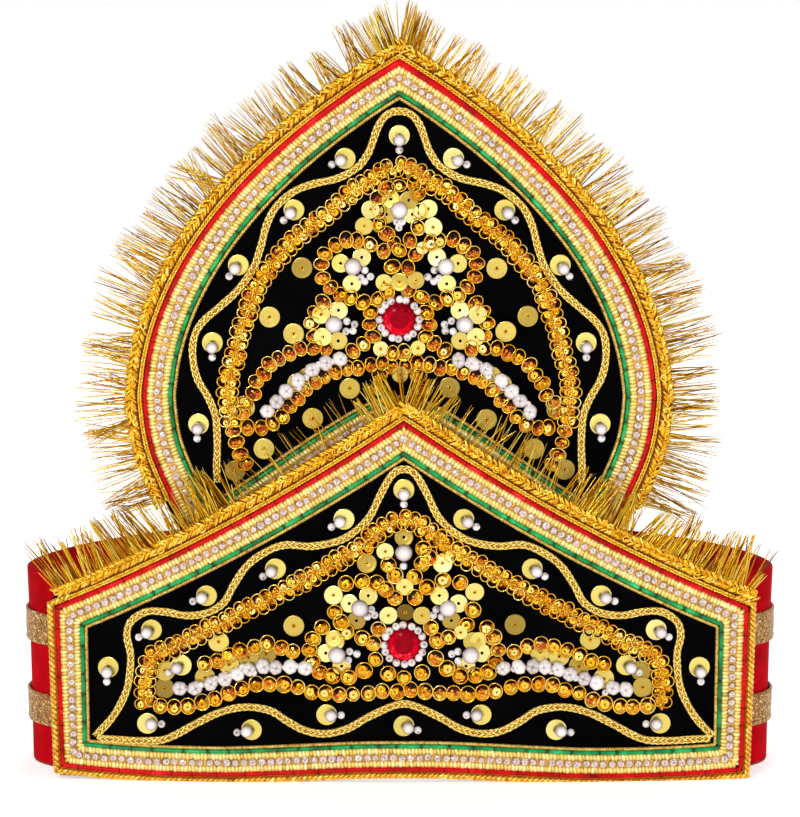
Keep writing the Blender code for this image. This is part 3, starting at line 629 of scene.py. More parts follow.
def stitched(path, style, chance, material):
    # a flat cord of slanted stitches that meet in a V along its middle
    spots = evenly(path, style["pitch"])
    way, normal, count = directions(spots)[0], inwards(spots), len(spots)
    t = np.linspace(0.0, 1.0, 7)
    parts = []
    for sign in (-1.0, 1.0):
        for number in range(style["yarns"]):
            aside = (number - (style["yarns"] - 1) / 2.0) * style["apart"]
            shift = aside + (0.5 * style["pitch"] if sign > 0 else 0.0)
            shift = shift + style["wild"] * chance.normal(size=count)
            reach = style["half"] * (1.0 + 0.35 * style["wild"] * chance.normal(size=count))
            across = sign * reach[:, None] * (1.0 - 1.12 * t)[None, :]
            along = shift[:, None] + style["slant"] * (t - 0.5)[None, :]
            lift = (style["out"] + style["depth"] * np.sin(np.pi * (0.05 + 0.85 * t))[None, :]
                    + 0.3 * style["wild"] * chance.normal(size=(count, 1)))
            lines = (spots[:, None, :] + normal[:, None, :] * across[:, :, None]
                     + way[:, None, :] * along[:, :, None])
            taper = np.array([[0.65, 0.9, 1.0, 1.0, 1.0, 0.9, 0.65]])
            yarn = style["yarn"] * chance.normal(1.0, 0.06, (count, 1)) * taper
            shape = tubes(np.concatenate([lines, lift[:, :, None]], 2), yarn, 5)
            # painted shade: each stitch is darker towards its ends, most where it meets the middle of
            # the V
            shade = chance.normal(0.6, 0.16, (count, 1)) - 0.45 * np.abs(2.0 * t - 0.9)[None, :] ** 3
            parts.append(part(shape, material, np.repeat(np.clip(shade, 0, 1).ravel(), 5)))
    return parts


# Red and green satin piping

piping = {
    "redHalfWidth": {"front": 0.62, "crest": 0.56}, "redHeight": 0.68, "redAcross": 0.0,
    "greenHalfWidth": {"front": 0.58, "crest": 0.52}, "greenHeight": 0.62, "greenAcross": 7.1,
    "crestTopSwell": 0.7,
    "step": 1.0, "sides": 10, "stitchEvery": 7.0, "stitchYarn": 0.13,
}

def satinPiping(board, colour):
    chance = diceFor(board, 11)
    half, high = piping[colour + "HalfWidth"][board["name"]], piping[colour + "Height"]
    path = loopAt(board, piping[colour + "Across"], piping["step"])
    count = len(path)
    swell = 1.0 + 0.05 * np.convolve(chance.normal(size=count + 8), np.ones(5) / 2.2, "same")[4:-4]
    if board is crestBoard and colour == "red":       # fuller towards the tip
        swell = swell * (1.0 + piping["crestTopSwell"] * np.clip((path[:, 1] - 150.0) / 45.0, 0, 1))
    line = alongPath(path, bend["seat"] + high)[None]
    shape = tubes(line, half * swell, piping["sides"], closed=True, flat=high / half)
    patch = np.convolve(chance.uniform(-1, 1, count + 8), np.ones(5) / 3.0, "same")[4:-4]
    tint = 0.58 + 0.3 * patch
    slots = np.arange(0, count, int(piping["stitchEvery"] / piping["step"]))
    slots = (slots + chance.integers(-1, 2, len(slots))) % count
    if colour == "green":
        tint[slots] = 0.15
    parts = [part(shape, 0, np.repeat(tint, piping["sides"]))]
    normal = inwards(path, True)
    arch = np.linspace(-1.15, 1.15, 7)
    heights = bend["seat"] + high * (1.0 + 1.1 * np.cos(arch * 1.25))
    stitch = path[slots][:, None, :] + normal[slots][:, None, :] * (arch * half)[None, :, None]
    stitch = np.concatenate([stitch, np.broadcast_to(heights[None, :, None],
                                                     (*stitch.shape[:2], 1))], 2)
    away = np.concatenate([directions(path, True)[0][slots], np.zeros((len(slots), 1))], 1)
    parts.append(part(tubes(stitch, piping["stitchYarn"], 4, away[:, None, :]), 0, 0.05))
    makePiece(f"{board['name']}_{colour}_piping", parts, [colour + "Satin"], board)


for board in (frontBoard, crestBoard):
    satinPiping(board, "red")
    satinPiping(board, "green")


# Crystal lace: two rows of ribbed gimp and a row of crystals in settings

lace = {
    "outerGimp": 1.62, "crystals": 3.58, "innerGimp": 5.54,
    "gimpHalf": 1.02, "gimpHigh": 1.15, "ribPitch": 1.04, "ribThick": 0.33, "ribWidth": 0.62,
    "innerSlant": 0.1, "group": 2.4,
    "crystalPitch": 2.5, "crystalRadius": 1.04, "crystalOut": 0.5, "groundHalf": 2.8,
    # shares of a crystal's radius: its layers as (radius, out), the cup under it, its claws
    "layers": [(0.30, 1.0), (0.62, 0.92), (1.0, 0.55), (1.0, 0.42)], "sides": 8,
    "cup": [(0.8, -0.45), (1.14, -0.4), (1.18, 0.1), (1.12, 0.46), (1.02, 0.52), (0.96, 0.42)],
    "claws": 4, "clawOut": 0.62, "clawRadius": 0.16,
}

def gimpRow(board, across, slant, chance):
    # flat folds side by side; every few folds stand a little prouder, with a painted highlight that
    # makes them paler
    half = lace["gimpHalf"] * board["spread"]
    path = loopAt(board, across, lace["ribPitch"])
    count = len(path)
    along, normal = directions(path, True)[0], inwards(path, True)
    beat = np.sin(fullTurn * np.arange(count) / lace["group"] + chance.normal(0.0, 0.5, count))
    bow = np.linspace(-1.0, 1.0, 5)
    lift = bend["seat"] + 0.1 + (lace["gimpHigh"] - lace["ribThick"]) * np.cos(bow * 1.3)
    reach = half * (1.0 + 0.07 * beat + 0.05 * chance.normal(size=count))
    sway = slant + 0.1 * chance.normal(size=count)
    ribs = (path[:, None, :] + normal[:, None, :] * (bow[None, :, None] * reach[:, None, None])
            + along[:, None, :] * (bow[None, :, None] * sway[:, None, None] * half))
    lifts = lift[None, :, None] * (1.0 + 0.06 * beat + 0.05 * chance.normal(size=count))[:, None, None]
    ribs = np.concatenate([ribs, np.maximum(lifts, bend["seat"])], 2)
    toward = np.concatenate([along, np.zeros((count, 1))], 1)[:, None, :]
    shape = tubes(ribs, lace["ribThick"], 6, toward, flat=lace["ribWidth"] / lace["ribThick"])
    edge = np.abs(np.sin(fullTurn * np.arange(6) / 6.0)) > 0.8        # folds are darker at their sides
    # painted light and shade: proud folds are painted paler, and each fold is painted darker at its
    # sides and at its ends, where it dips to the velvet
    shade = 0.86 + 0.1 * beat + 0.1 * chance.normal(size=count)
    shade = shade[:, None, None] - 0.12 * edge[None, None, :] - 0.25 * (np.abs(bow) ** 4)[None, :, None]
    ground = tubes(alongPath(loopAt(board, across, 2.0), bend["seat"] + 0.45)[None], half * 0.9,
                   6, closed=True, flat=0.5)
    return [part(shape, 0, np.clip(shade, 0, 1).ravel()), part(ground, 1, 0.5)]


def crystalTemplate():
    layers, sides = lace["layers"], lace["sides"]
    levels = [spun([radius], [out], sides, 0.5 * (number % 2))
              for number, (radius, out) in enumerate(layers)]
    points = np.concatenate([[(0.0, 0.0, 1.0)]] + levels)
    k = np.arange(sides)
    beyond = (k + 1) % sides
    faces = [np.stack([0 * k, 1 + k, 1 + beyond], 1)]
    for number in range(len(layers) - 1):
        upper, lower = 1 + number * sides, 1 + (number + 1) * sides
        if number % 2 == 0:
            faces.append(np.stack([upper + k, lower + k, upper + beyond], 1))
            faces.append(np.stack([lower + k, lower + beyond, upper + beyond], 1))
        else:
            faces.append(np.stack([upper + k, lower + k, lower + beyond], 1))
            faces.append(np.stack([upper + k, lower + beyond, upper + beyond], 1))
    return facetted((points, faces))


def crystalRow(board, chance):
    path = loopAt(board, lace["crystals"], lace["crystalPitch"])
    count = len(path)
    path = path + chance.normal(0.0, 0.1, path.shape)
    size = lace["crystalRadius"] * np.clip(chance.normal(1.0, 0.07, count), 0.8, 1.12)
    size = size[:, None] * np.ones((1, 3))
    turn = chance.uniform(0.0, fullTurn, count)
    tilt = np.abs(chance.normal(0.0, 0.12, count))
    toward = chance.uniform(0.0, fullTurn, count)
    axes = lying(turn, size, tilt, toward)
    origins = alongPath(path, bend["seat"] + lace["crystalOut"])
    template = crystalTemplate()
    shape = copies(template, origins, axes)
    facets = sum(len(group) for group in template[1])
    # painted reflections: each facet gets its own brightness, and the facets of the flat top are
    # painted darker
    shade = np.clip(chance.normal(0.72, 0.22, (count, facets)), 0.0, 1.0)
    table = len(template[1][0])        # the facets of the flat top are darker
    shade[:, :table] = np.clip(chance.normal(0.42, 0.25, (count, table)), 0.0, 1.0)
    widths = np.concatenate([np.full(len(group), group.shape[1]) for group in template[1]])
    tint = np.repeat(shade.ravel(), np.tile(widths, count))
    cup = turned(lace["cup"], lace["sides"])
    cups = copies(cup, origins, axes)
    cupTint = tints(chance, 0.5, 0.2, count, len(cup[0]))
    around = spun([1.0], [lace["clawOut"]], lace["claws"], 0.5)
    places = placedAt(origins, around, axes).reshape(-1, 3)
    claws = copies(ball(3, 4), places, lying(np.zeros(len(places)), lace["clawRadius"]))
    return [part(shape, 2, tint, False), part(cups, 3, cupTint), part(claws, 3, 0.85)]


def crystalLace(board):
    chance = diceFor(board, 21)
    parts = gimpRow(board, lace["outerGimp"], 0.05, chance)
    parts += gimpRow(board, lace["innerGimp"], lace["innerSlant"], chance)
    parts += crystalRow(board, chance)
    ground = tubes(alongPath(loopAt(board, lace["crystals"], 2.0), bend["seat"] + 0.3)[None],
                   lace["groundHalf"] * board["spread"], 8, closed=True, flat=0.1)
    parts.append(part(ground, 1, 0.95))
    makePiece(board["name"] + "_crystal_lace", parts,
              ["gimp", "gimpGround", "crystal", "setting"], board)


for board in (frontBoard, crestBoard):
    crystalLace(board)


# Gold edging inside the green piping, and the plaited wave cords

edging = {"across": 8.22, "radius": 0.25, "yarn": 0.33, "pitch": 1.7, "step": 0.26}

def goldEdging(board):
    chance = np.random.default_rng(31)
    path = loopAt(board, edging["across"], edging["step"])
    shape = twisted(path, bend["seat"] + 0.5, True, 2, edging["radius"], edging["yarn"],
                    edging["pitch"])
    tint = 0.55 + 0.15 * chance.normal(size=len(shape[0]) // 4)
    makePiece(board["name"] + "_gold_edging", [part(shape, 0, np.repeat(tint, 4))], ["gimp"],
              board)


waves = {
    "crest": [[(0.0, 191.4), (2.6, 190.9), (4.7, 189.2), (6.2, 186.6), (7.4, 183.2),
               (8.9, 179.4), (12.0, 175.4), (17.6, 172.4),
               (24.5, 170.8), (30.0, 168.6), (35.0, 164.3), (37.8, 159.0), (39.4, 153.0),
               (41.7, 146.7), (46.0, 140.6), (51.0, 136.0), (56.2, 131.4), (58.6, 127.0),
               (59.0, 121.0), (57.6, 115.0), (54.6, 109.8), (52.8, 105.3), (52.2, 100.8),
               (52.1, 95.0), (52.3, 90.0), (52.2, 85.5)]],
    "front": [[(0.0, 90.2), (2.2, 89.6), (4.2, 87.4), (6.8, 82.6), (9.6, 76.8), (13.8, 72.4),
               (19.0, 69.5),
               (26.5, 68.1), (34.0, 68.4), (40.2, 65.8), (44.9, 62.0), (48.5, 56.6),
               (51.2, 51.8), (55.8, 48.8), (62.0, 47.9), (68.0, 48.9), (73.5, 48.8),
               (77.8, 46.0), (79.0, 42.0), (78.0, 36.5), (78.3, 30.5), (79.6, 25.0),
               (83.2, 18.4), (88.4, 12.6)],
              [(87.6, 12.0), (82.0, 11.8), (76.0, 11.5), (69.5, 11.8), (65.4, 13.3),
               (59.7, 16.5), (53.1, 19.8), (46.0, 21.6), (38.5, 20.8), (33.5, 17.8), (28.0, 14.9),
               (22.0, 14.1), (16.0, 15.6), (10.0, 19.0), (4.0, 21.8), (0.0, 22.8)]],
    "halfWidth": 0.92, "depth": 0.24, "yarn": 0.25, "period": 8.6, "step": 0.45, "out": 0.8,
    "strands": 6,
}

def waveCord(board):
    chance = np.random.default_rng(41)
    parts = []
    for route in waves[board["name"]]:
        whole = np.array(route)
        if whole[0, 0] == 0.0:
            whole = whole[::-1]
        whole = np.concatenate([whole, mirrored(whole)[1:]])
        path = smoothRoute(whole, waves["step"])
        shape = plaited(path, bend["seat"] + waves["out"], waves["halfWidth"], waves["depth"],
                        waves["yarn"], waves["period"], waves["strands"])
        lift = shape[0].reshape(waves["strands"], len(path), 4, 3)[:, :, :, 2].mean(2)
        swing = (lift - bend["seat"] - waves["out"]) / waves["depth"]
        # painted shade: strands are paler where they ride high in the plait and darker where they dip
        # under the others
        tint = 0.7 + 0.28 * swing + 0.08 * chance.normal(size=swing.shape)
        parts.append(part(shape, 0, np.repeat(np.clip(tint, 0, 1).ravel(), 4)))
        # a dark gold tube under the plait: painted shade between the strands
        shadowCore = tubes(alongPath(path[::3], bend["seat"] + 0.5)[None], waves["halfWidth"] * 0.95, 6,
                     flat=0.4)
        parts.append(part(shadowCore, 0, 0.08))
    makePiece(board["name"] + "_wave_cord", parts, ["waveCord"], board)


for board in (frontBoard, crestBoard):
    goldEdging(board)
    waveCord(board)


# Fringes: tinsel strands, a loopy braid over their roots and a thin twisted cord below it

fringe = {
    "strandPitch": 0.22, "strandFlat": 0.16, "endReach": 98.9, "tuftHalf": 5.5, "braidEnd": 99.8,
    "leftLonger": 0.05, "shortShare": 0.35, "shortLength": 0.5,
    "frontWidth": 0.27, "crestWidth": 0.2, "tipWidth": 0.3,
    "frontLength": (9.5, 13.5), "crestLength": (9.6, 14.4), "lengthVaries": 1.1,
    "clump": 4.2, "gather": 0.5, "clumpLean": 0.15, "lean": 0.09,
    "sparseFrom": 9.0, "sparseTo": 47.0, "sparseShare": 0.26,
    "frontBraid": (-6.0, -2.4), "crestBraid": (-5.7, -2.4),
    "thinCords": (-1.08, -1.78), "thinRadius": 0.19, "thinYarn": 0.25, "thinPitch": 2.0,
    "curlEvery": 1.9, "curlOut": 1.75, "curl": 0.04, "allShorter": 0.8, "thinWidth": 0.6,
    "middleHalf": 7.0, "middleUp": 1.1, "endLean": (0.04, -0.2), "paleUpTo": 0.45, "goldUpTo": 0.84,
    "frontStitch": {"pitch": 1.75, "half": 1.6, "slant": 2.0, "yarn": 0.4, "depth": 0.35,
                    "out": 1.2, "yarns": 2, "apart": 0.78, "wild": 0.2},
    "crestStitch": {"pitch": 1.95, "half": 1.5, "slant": 2.0, "yarn": 0.42, "depth": 0.4,
                    "out": 1.2, "yarns": 2, "apart": 0.85, "wild": 0.3},
}

def tinselStrands(board, chance):
    inner, outer = fringe[board["name"] + "Braid"]
    root = (inner + outer) / 2.0 / board["spread"]
    path = topLine(board, root, fringe["strandPitch"])
    outward = -inwards(path)
    spots = lengthsAlong(path)
    most = np.abs(path[:, 0]) < fringe["endReach"]
    tuft = np.abs(path[:, 0]) < fringe["tuftHalf"]
    path, outward, spots = (np.concatenate([a[most], a[tuft]]) for a in (path, outward, spots))
    thin = np.arange(len(path)) >= most.sum()      # strands that join no tuft
    if board is frontBoard:        # few strands between the middle tuft and the ends
        reach = np.abs(path[:, 0])
        thin = thin | ((reach > fringe["sparseFrom"]) & (reach < fringe["sparseTo"]))
        keep = chance.random(len(path)) < np.where(thin, fringe["sparseShare"], 1.0)
        path, outward, spots, thin = path[keep], outward[keep], spots[keep], thin[keep]
    outward /= np.linalg.norm(outward, axis=1, keepdims=True)
    along = np.stack([outward[:, 1], -outward[:, 0]], 1)
    count = len(path)
    near, far = fringe[board["name"] + "Length"]
    share = np.abs(path[:, 0]) / np.abs(path[:, 0]).max()
    beyond = (near + (far - near) * share ** 0.8) + (outer - inner) / 2.0
    # the strands gather into tufts, and each tuft leans its own way
    clump = fringe["clump"]
    tufts = np.cumsum(chance.uniform(0.5, 1.5, int(spots.max() / clump) + 4)) * clump - clump
    nearest = np.abs(spots[:, None] - tufts[None, :]).argmin(1)
    pull = (tufts[nearest] - spots) * fringe["gather"] * chance.uniform(0.4, 1.2, count)
    pull[thin] = 0.0
    lean = np.arctan2(pull, beyond) + (fringe["clumpLean"] * chance.normal(size=len(tufts)))[nearest]
    lean = lean + fringe["lean"] * chance.normal(size=count)
    beyond = beyond + (fringe["lengthVaries"] * chance.normal(size=len(tufts)))[nearest]
    beyond = beyond - fringe["allShorter"]
    beyond = beyond + 0.6 * fringe["lengthVaries"] * chance.normal(size=count)
    short = (chance.random(count) < fringe["shortShare"]) & ~thin       # these fill the roots
    beyond = np.where(short, beyond * fringe["shortLength"], beyond)
    if board is frontBoard:        # towards the ends the strands lean outwards
        lean = lean + np.where(path[:, 0] > 0.0, *fringe["endLean"]) * share ** 2
        beyond = beyond * (1.0 - fringe["leftLonger"] * np.sign(path[:, 0]) * share ** 2)
    middle = np.clip(1.0 - np.abs(path[:, 0]) / fringe["middleHalf"], 0.0, 1.0)
    heading = outward * np.cos(lean)[:, None] + along * np.sin(lean)[:, None]
    heading = heading + middle[:, None] * np.array([(0.0, fringe["middleUp"])])
    heading /= np.linalg.norm(heading, axis=1, keepdims=True)
    t = np.linspace(0.0, 1.0, 5)[None, :, None]
    curl = (fringe["curl"] * chance.normal(size=count) * beyond)[:, None, None]
    flat = (path[:, None, :] + heading[:, None, :] * t * beyond[:, None, None]
            + along[:, None, :] * t ** 2 * curl)
    low = chance.uniform(0.5, 1.7, count)[:, None, None]
    rise = chance.normal(0.0, 0.8, count)[:, None, None]
    lines = np.concatenate([flat, low + rise * t ** 1.5], 2)
    width = fringe[board["name"] + "Width"] * (1.0 + fringe["tipWidth"] * middle)
    width = (width * chance.uniform(0.6, 1.35, count))[:, None]
    if board is frontBoard:
        width = width * np.where(thin, fringe["thinWidth"], 1.0)[:, None]
    shape = tubes(lines, width * np.array([[1.0, 1.0, 0.95, 0.85, 0.45]]), 3,
                  flat=fringe["strandFlat"], turn=chance.uniform(-0.8, 0.8, (count, 1)))
    kind = chance.random(count)    # pale, gold or dark strands
    tint = np.where(kind < fringe["paleUpTo"], 0.85,
                    np.where(kind < fringe["goldUpTo"], 0.58, 0.22))
    tint = tint + chance.normal(0, 0.1, count)
    return part(shape, 0, np.repeat(np.clip(tint, 0, 1), 15))


def curls(path, width, chance):
    # small loops of yarn that stand up out of the braid here and there
    way, normal, count = directions(path)[0], inwards(path), len(path)
    spots = path + normal * chance.uniform(-0.6, 0.6, (count, 1)) * width
    spots = alongPath(spots, fringe["curlOut"])
    angle = fullTurn * np.arange(9) / 9.0
    loop = np.stack([np.cos(angle), 0.7 * np.sin(angle), 0.25 * np.sin(2.0 * angle)], 1)
    turn = np.arctan2(way[:, 1], way[:, 0]) + chance.normal(0.6, 0.5, count)
    size = chance.uniform(0.7, 1.15, (count, 1)) * np.ones((1, 3))
    loops = placedAt(spots, loop, lying(turn, size, chance.uniform(0.1, 0.7, count), turn))
    return part(tubes(loops, 0.3, 4, closed=True), 1, tints(chance, 0.66, 0.2, count, 36))


def fringePiece(board):
    chance = diceFor(board, 51)
    inner, outer = fringe[board["name"] + "Braid"]
    middle = (inner + outer) / 2.0 / board["spread"]
    parts = [tinselStrands(board, chance)]
    line = topLine(board, middle, 1.0)
    if board is frontBoard:        # the braid ends level with the rope of the sides
        line = line[np.abs(line[:, 0]) < fringe["braidEnd"]]
    parts += stitched(line, fringe[board["name"] + "Stitch"], chance, 1)
    parts.append(curls(evenly(line, fringe["curlEvery"]), abs(outer - inner) / 2.0, chance))
    # a dark brown strip under the braid: painted shade between the stitches
    shadeStrip = tubes(alongPath(evenly(line, 2.0) + inwards(evenly(line, 2.0)) * 0.25, 0.9)[None],
                  abs(outer - inner) * 0.52, 8, flat=0.2)
    parts.append(part(shadeStrip, 2, 0.35))
    for across in fringe["thinCords"]:
        path = topLine(board, across / board["spread"], 0.34)
        thin = twisted(path, 0.95, False, 2, fringe["thinRadius"], fringe["thinYarn"],
                       fringe["thinPitch"], phase=across * 3.0)
        tint = 0.68 + 0.15 * chance.normal(size=len(thin[0]) // 4)
        parts.append(part(thin, 1, np.repeat(tint, 4)))
    makePiece(board["name"] + "_fringe", parts, ["tinsel", "braid", "braidShadow"], board)


for board in (frontBoard, crestBoard):
    fringePiece(board)


# Twisted cord round the front board's sides and bottom

edgeCord = {"across": -1.8, "radius": 0.5, "yarn": 0.56, "pitch": 3.0, "overCorner": 6.0,
            "out": 1.15, "step": 0.45, "lowest": 0.03,
            "thinAcross": -0.86, "thinRadius": 0.14, "thinYarn": 0.24, "thinPitch": 1.5,
            "thinOut": 0.6, "thinStep": 0.3}

def lowerLine(across, step, beyond):
    legs = legsAt(frontBoard, across)
    whole = joined(legs)
    lengths = lengthsAlong(whole)
    start, end = lengthsAlong(legs[0])[-1] - beyond, lengths[-1] - lengthsAlong(legs[4])[-1] + beyond
    return evenly(whole[(lengths > start) & (lengths < end)], step)


def frontEdgeCord():
    chance = np.random.default_rng(61)
    thick = twisted(lowerLine(edgeCord["across"], edgeCord["step"], edgeCord["overCorner"]),
                    edgeCord["out"], False, 2, edgeCord["radius"], edgeCord["yarn"],
                    edgeCord["pitch"], sides=6)
    thick[0][:, 1] = np.maximum(thick[0][:, 1], edgeCord["lowest"])
    thin = twisted(lowerLine(edgeCord["thinAcross"], edgeCord["thinStep"], 0.0),
                   edgeCord["thinOut"], False, 2, edgeCord["thinRadius"], edgeCord["thinYarn"],
                   edgeCord["thinPitch"])
    tint = 0.6 + 0.15 * chance.normal(size=len(thick[0]) // 6)
    makePiece("front_edge_cord", [part(thick, 0, np.repeat(tint, 6)), part(thin, 1, 0.8)],
              ["edgeCord", "orangeCord"], frontBoard)


frontEdgeCord()


# Ring chains: gold cups in rows, with amber beads and glints inside

ringRows = {
    "crest": {
        "double": [(0, 176), (4.5, 174.5), (7, 172.5), (10, 170.5), (13, 169), (17, 165.5),
                   (19.5, 163), (22, 161), (25, 159), (27, 157), (29.5, 155.5), (32.5, 152),
                   (35.5, 148.5), (39.5, 143.5), (42, 138.5), (43.5, 133.5), (45, 129.5),
                   (46, 125.5), (47, 121), (48.5, 116.5), (49, 113), (49, 110), (48.5, 106.5),
                   (48.3, 103)],
        "loose": [(0, 170.6), (-3.6, 169.7), (-5.9, 167), (5.2, 168.2), (4.4, 171), (-6, 163.3),
                  (-5.8, 159.5), (5.2, 158.5), (6.2, 163.2), (-3.6, 156.8), (-1.7, 154.2),
                  (3.1, 154.9), (0, 152.4), (-4.7, 151.9), (4.7, 151.1), (-2, 147.3),
                  (2.8, 147), (-8.1, 153.9), (8.9, 154.4), (-3.4, 140.4), (2.9, 140.7),
                  (-6, 138.2), (6.4, 138.9)],
        "discs": [(-8.2, 163.6, 2.6, 0.85), (8.2, 163.8, 2.7, 0.9), (-10, 158.9, 2.6, 0.5),
                  (9.6, 158.6, 2.7, 0.95), (6.6, 152.7, 1.8, 0.95), (-4.4, 142.9, 2.4, 0.7),
                  (0, 143, 2.6, 0.35), (4.7, 143.5, 2.5, 0.4), (-5.3, 124, 2.2, 0.9),
                  (5.3, 124.2, 2.2, 0.7), (0.2, 116.6, 2.4, 0.5)],
        "single": [[(47.5, 100.5), (46.5, 97), (45.5, 94.5), (44, 91)],
                   [(11.7, 154.9), (15.3, 154.9), (18.5, 153.4), (21.2, 151),
                    (22.1, 148.3), (21.7, 144.9), (19.9, 142), (17, 139.6), (13.8, 138.5),
                    (10.4, 137.3), (8, 134.5)],
                   [(21.5, 137.5), (24, 134.5), (25, 131), (24, 127.5), (24, 124),
                    (20.5, 124)],
                   [(8.5, 131), (7.5, 127.5), (10, 125.5), (13, 123.5)],
                   [(1.5, 123)],
                   [(15, 118.5), (11.5, 118.5), (9, 119), (5.5, 120), (2, 119)],
                   [(5.5, 116.5), (6, 112.5)],
                   [(28, 124), (31, 123), (34, 121.5), (36.5, 120), (38.5, 117), (41, 114),
                    (42, 110.5), (44.5, 108), (45, 105.5)],
                   [(18, 117.5), (21.5, 116), (24.5, 114.5), (27, 112), (29, 109.5),
                    (31.5, 107.5), (33.5, 104.5), (36.5, 102.5), (39.5, 101.5), (43, 101.5)]],
    },
    "front": {
        "double": [(0, 76), (4, 74.5), (8.5, 71.5), (11.5, 68.5), (13.5, 67), (16.5, 65.5),
                   (19.5, 63.5), (22.5, 62), (25.5, 60), (29, 58), (32, 56.5), (35, 54.5),
                   (38.5, 53), (41.5, 51), (44.5, 50), (47, 48.5), (50, 46.5), (53.5, 45),
                   (56, 44), (58.5, 42.5), (61.5, 41), (65, 39), (69, 37.5), (71.5, 36),
                   (73, 33), (74, 28), (73.5, 23)],
        "loose": [(-4.5, 62.7), (5.6, 67.7), (5.3, 63.3), (7.1, 64.9), (-2.4, 59.6), (3, 59.6),
                  (-2.4, 53.3), (3.3, 53.4), (-7.7, 57.5), (-5, 55.9), (6.5, 56.5),
                  (11.1, 58.7), (16.1, 57.8), (-11.9, 58.1), (-16.3, 57.5), (-19.6, 49.4),
                  (19.8, 50.1), (-7.1, 44.6), (7.9, 44.8), (-8.8, 40.3), (-7.9, 35.8),
                  (-11.9, 41.8), (9.6, 41.1), (12.7, 42.3), (9, 35.8), (17.9, 46),
                  (-17.7, 46.3), (-16.2, 43.5), (-4.5, 31.5), (0.2, 30.6), (5.3, 31.8),
                  (-11.3, 32.6), (12.1, 33), (-15.6, 30.6), (16.2, 30.9), (-20.3, 30.9),
                  (20.3, 30.9)],
        "discs": [(-5.3, 66.7, 2.5, 0.9), (-10.5, 63.3, 2.8, 0.3), (11, 63.3, 2.8, 0.95),
                  (0.2, 56.5, 2.5, 0.8), (-4.4, 48.3, 2.6, 0.9), (0.4, 49.2, 2.5, 0.0),
                  (5.1, 48.3, 2.6, 0.45), (-20, 54.1, 2.7, 0.85), (20.1, 55, 2.7, 0.75),
                  (16.1, 43.4, 2.0, 0.8), (-19.9, 41.6, 2.4, 0.6), (21.2, 41.2, 2.4, 0.7)],
        "single": [[(57, 34), (53, 35), (48.5, 37.5), (44.5, 38.5), (41, 39.5), (38.5, 40),
                    (35, 39), (31.5, 38)],
                   [(69.5, 22), (65, 21.5), (60.5, 22), (56.5, 23), (52.5, 24.5), (49.5, 26),
                    (46.5, 26.5), (43, 28), (39, 28.5), (35, 28.5), (31.5, 28), (27, 26.5),
                    (22, 26), (18, 25.5), (14, 26), (10, 26), (6, 26.5), (2, 26.5)],
                   [(24, 32), (26.8, 36.5), (26, 41), (23.5, 44.8)]],
    },
}

rings = {"crestSize": (1.85, 2.3), "frontSize": (2.1, 2.24), "pairSize": (1.62, 1.72),
         "pairApart": 1.42, "pairPitch": 2.85, "rimYarn": 0.22, "out": 0.25, "high": 1.3,
         "tilt": 0.14, "goldShare": {"crest": 0.4, "front": 0.75}, "pairGold": 0.8,
         # profiles of (radius, out) as shares of the cup's size, and how many sides each has
         "rimSides": 14, "hollow": [(0.95, 0.9), (0.74, 0.4), (0.42, 0.12), (0.05, 0.3)],
         "outside": [(0.5, 0.0), (0.86, 0.35), (1.02, 0.97)], "cupSides": 11,
         "disc": [(0.22, 0.0), (0.24, 0.07), (0.9, 0.05), (1.0, 0.0)], "discSides": 12,
         "beads": 3, "beadApart": 1.1, "stitchOut": 1.75, "stitchYarn": 0.18}

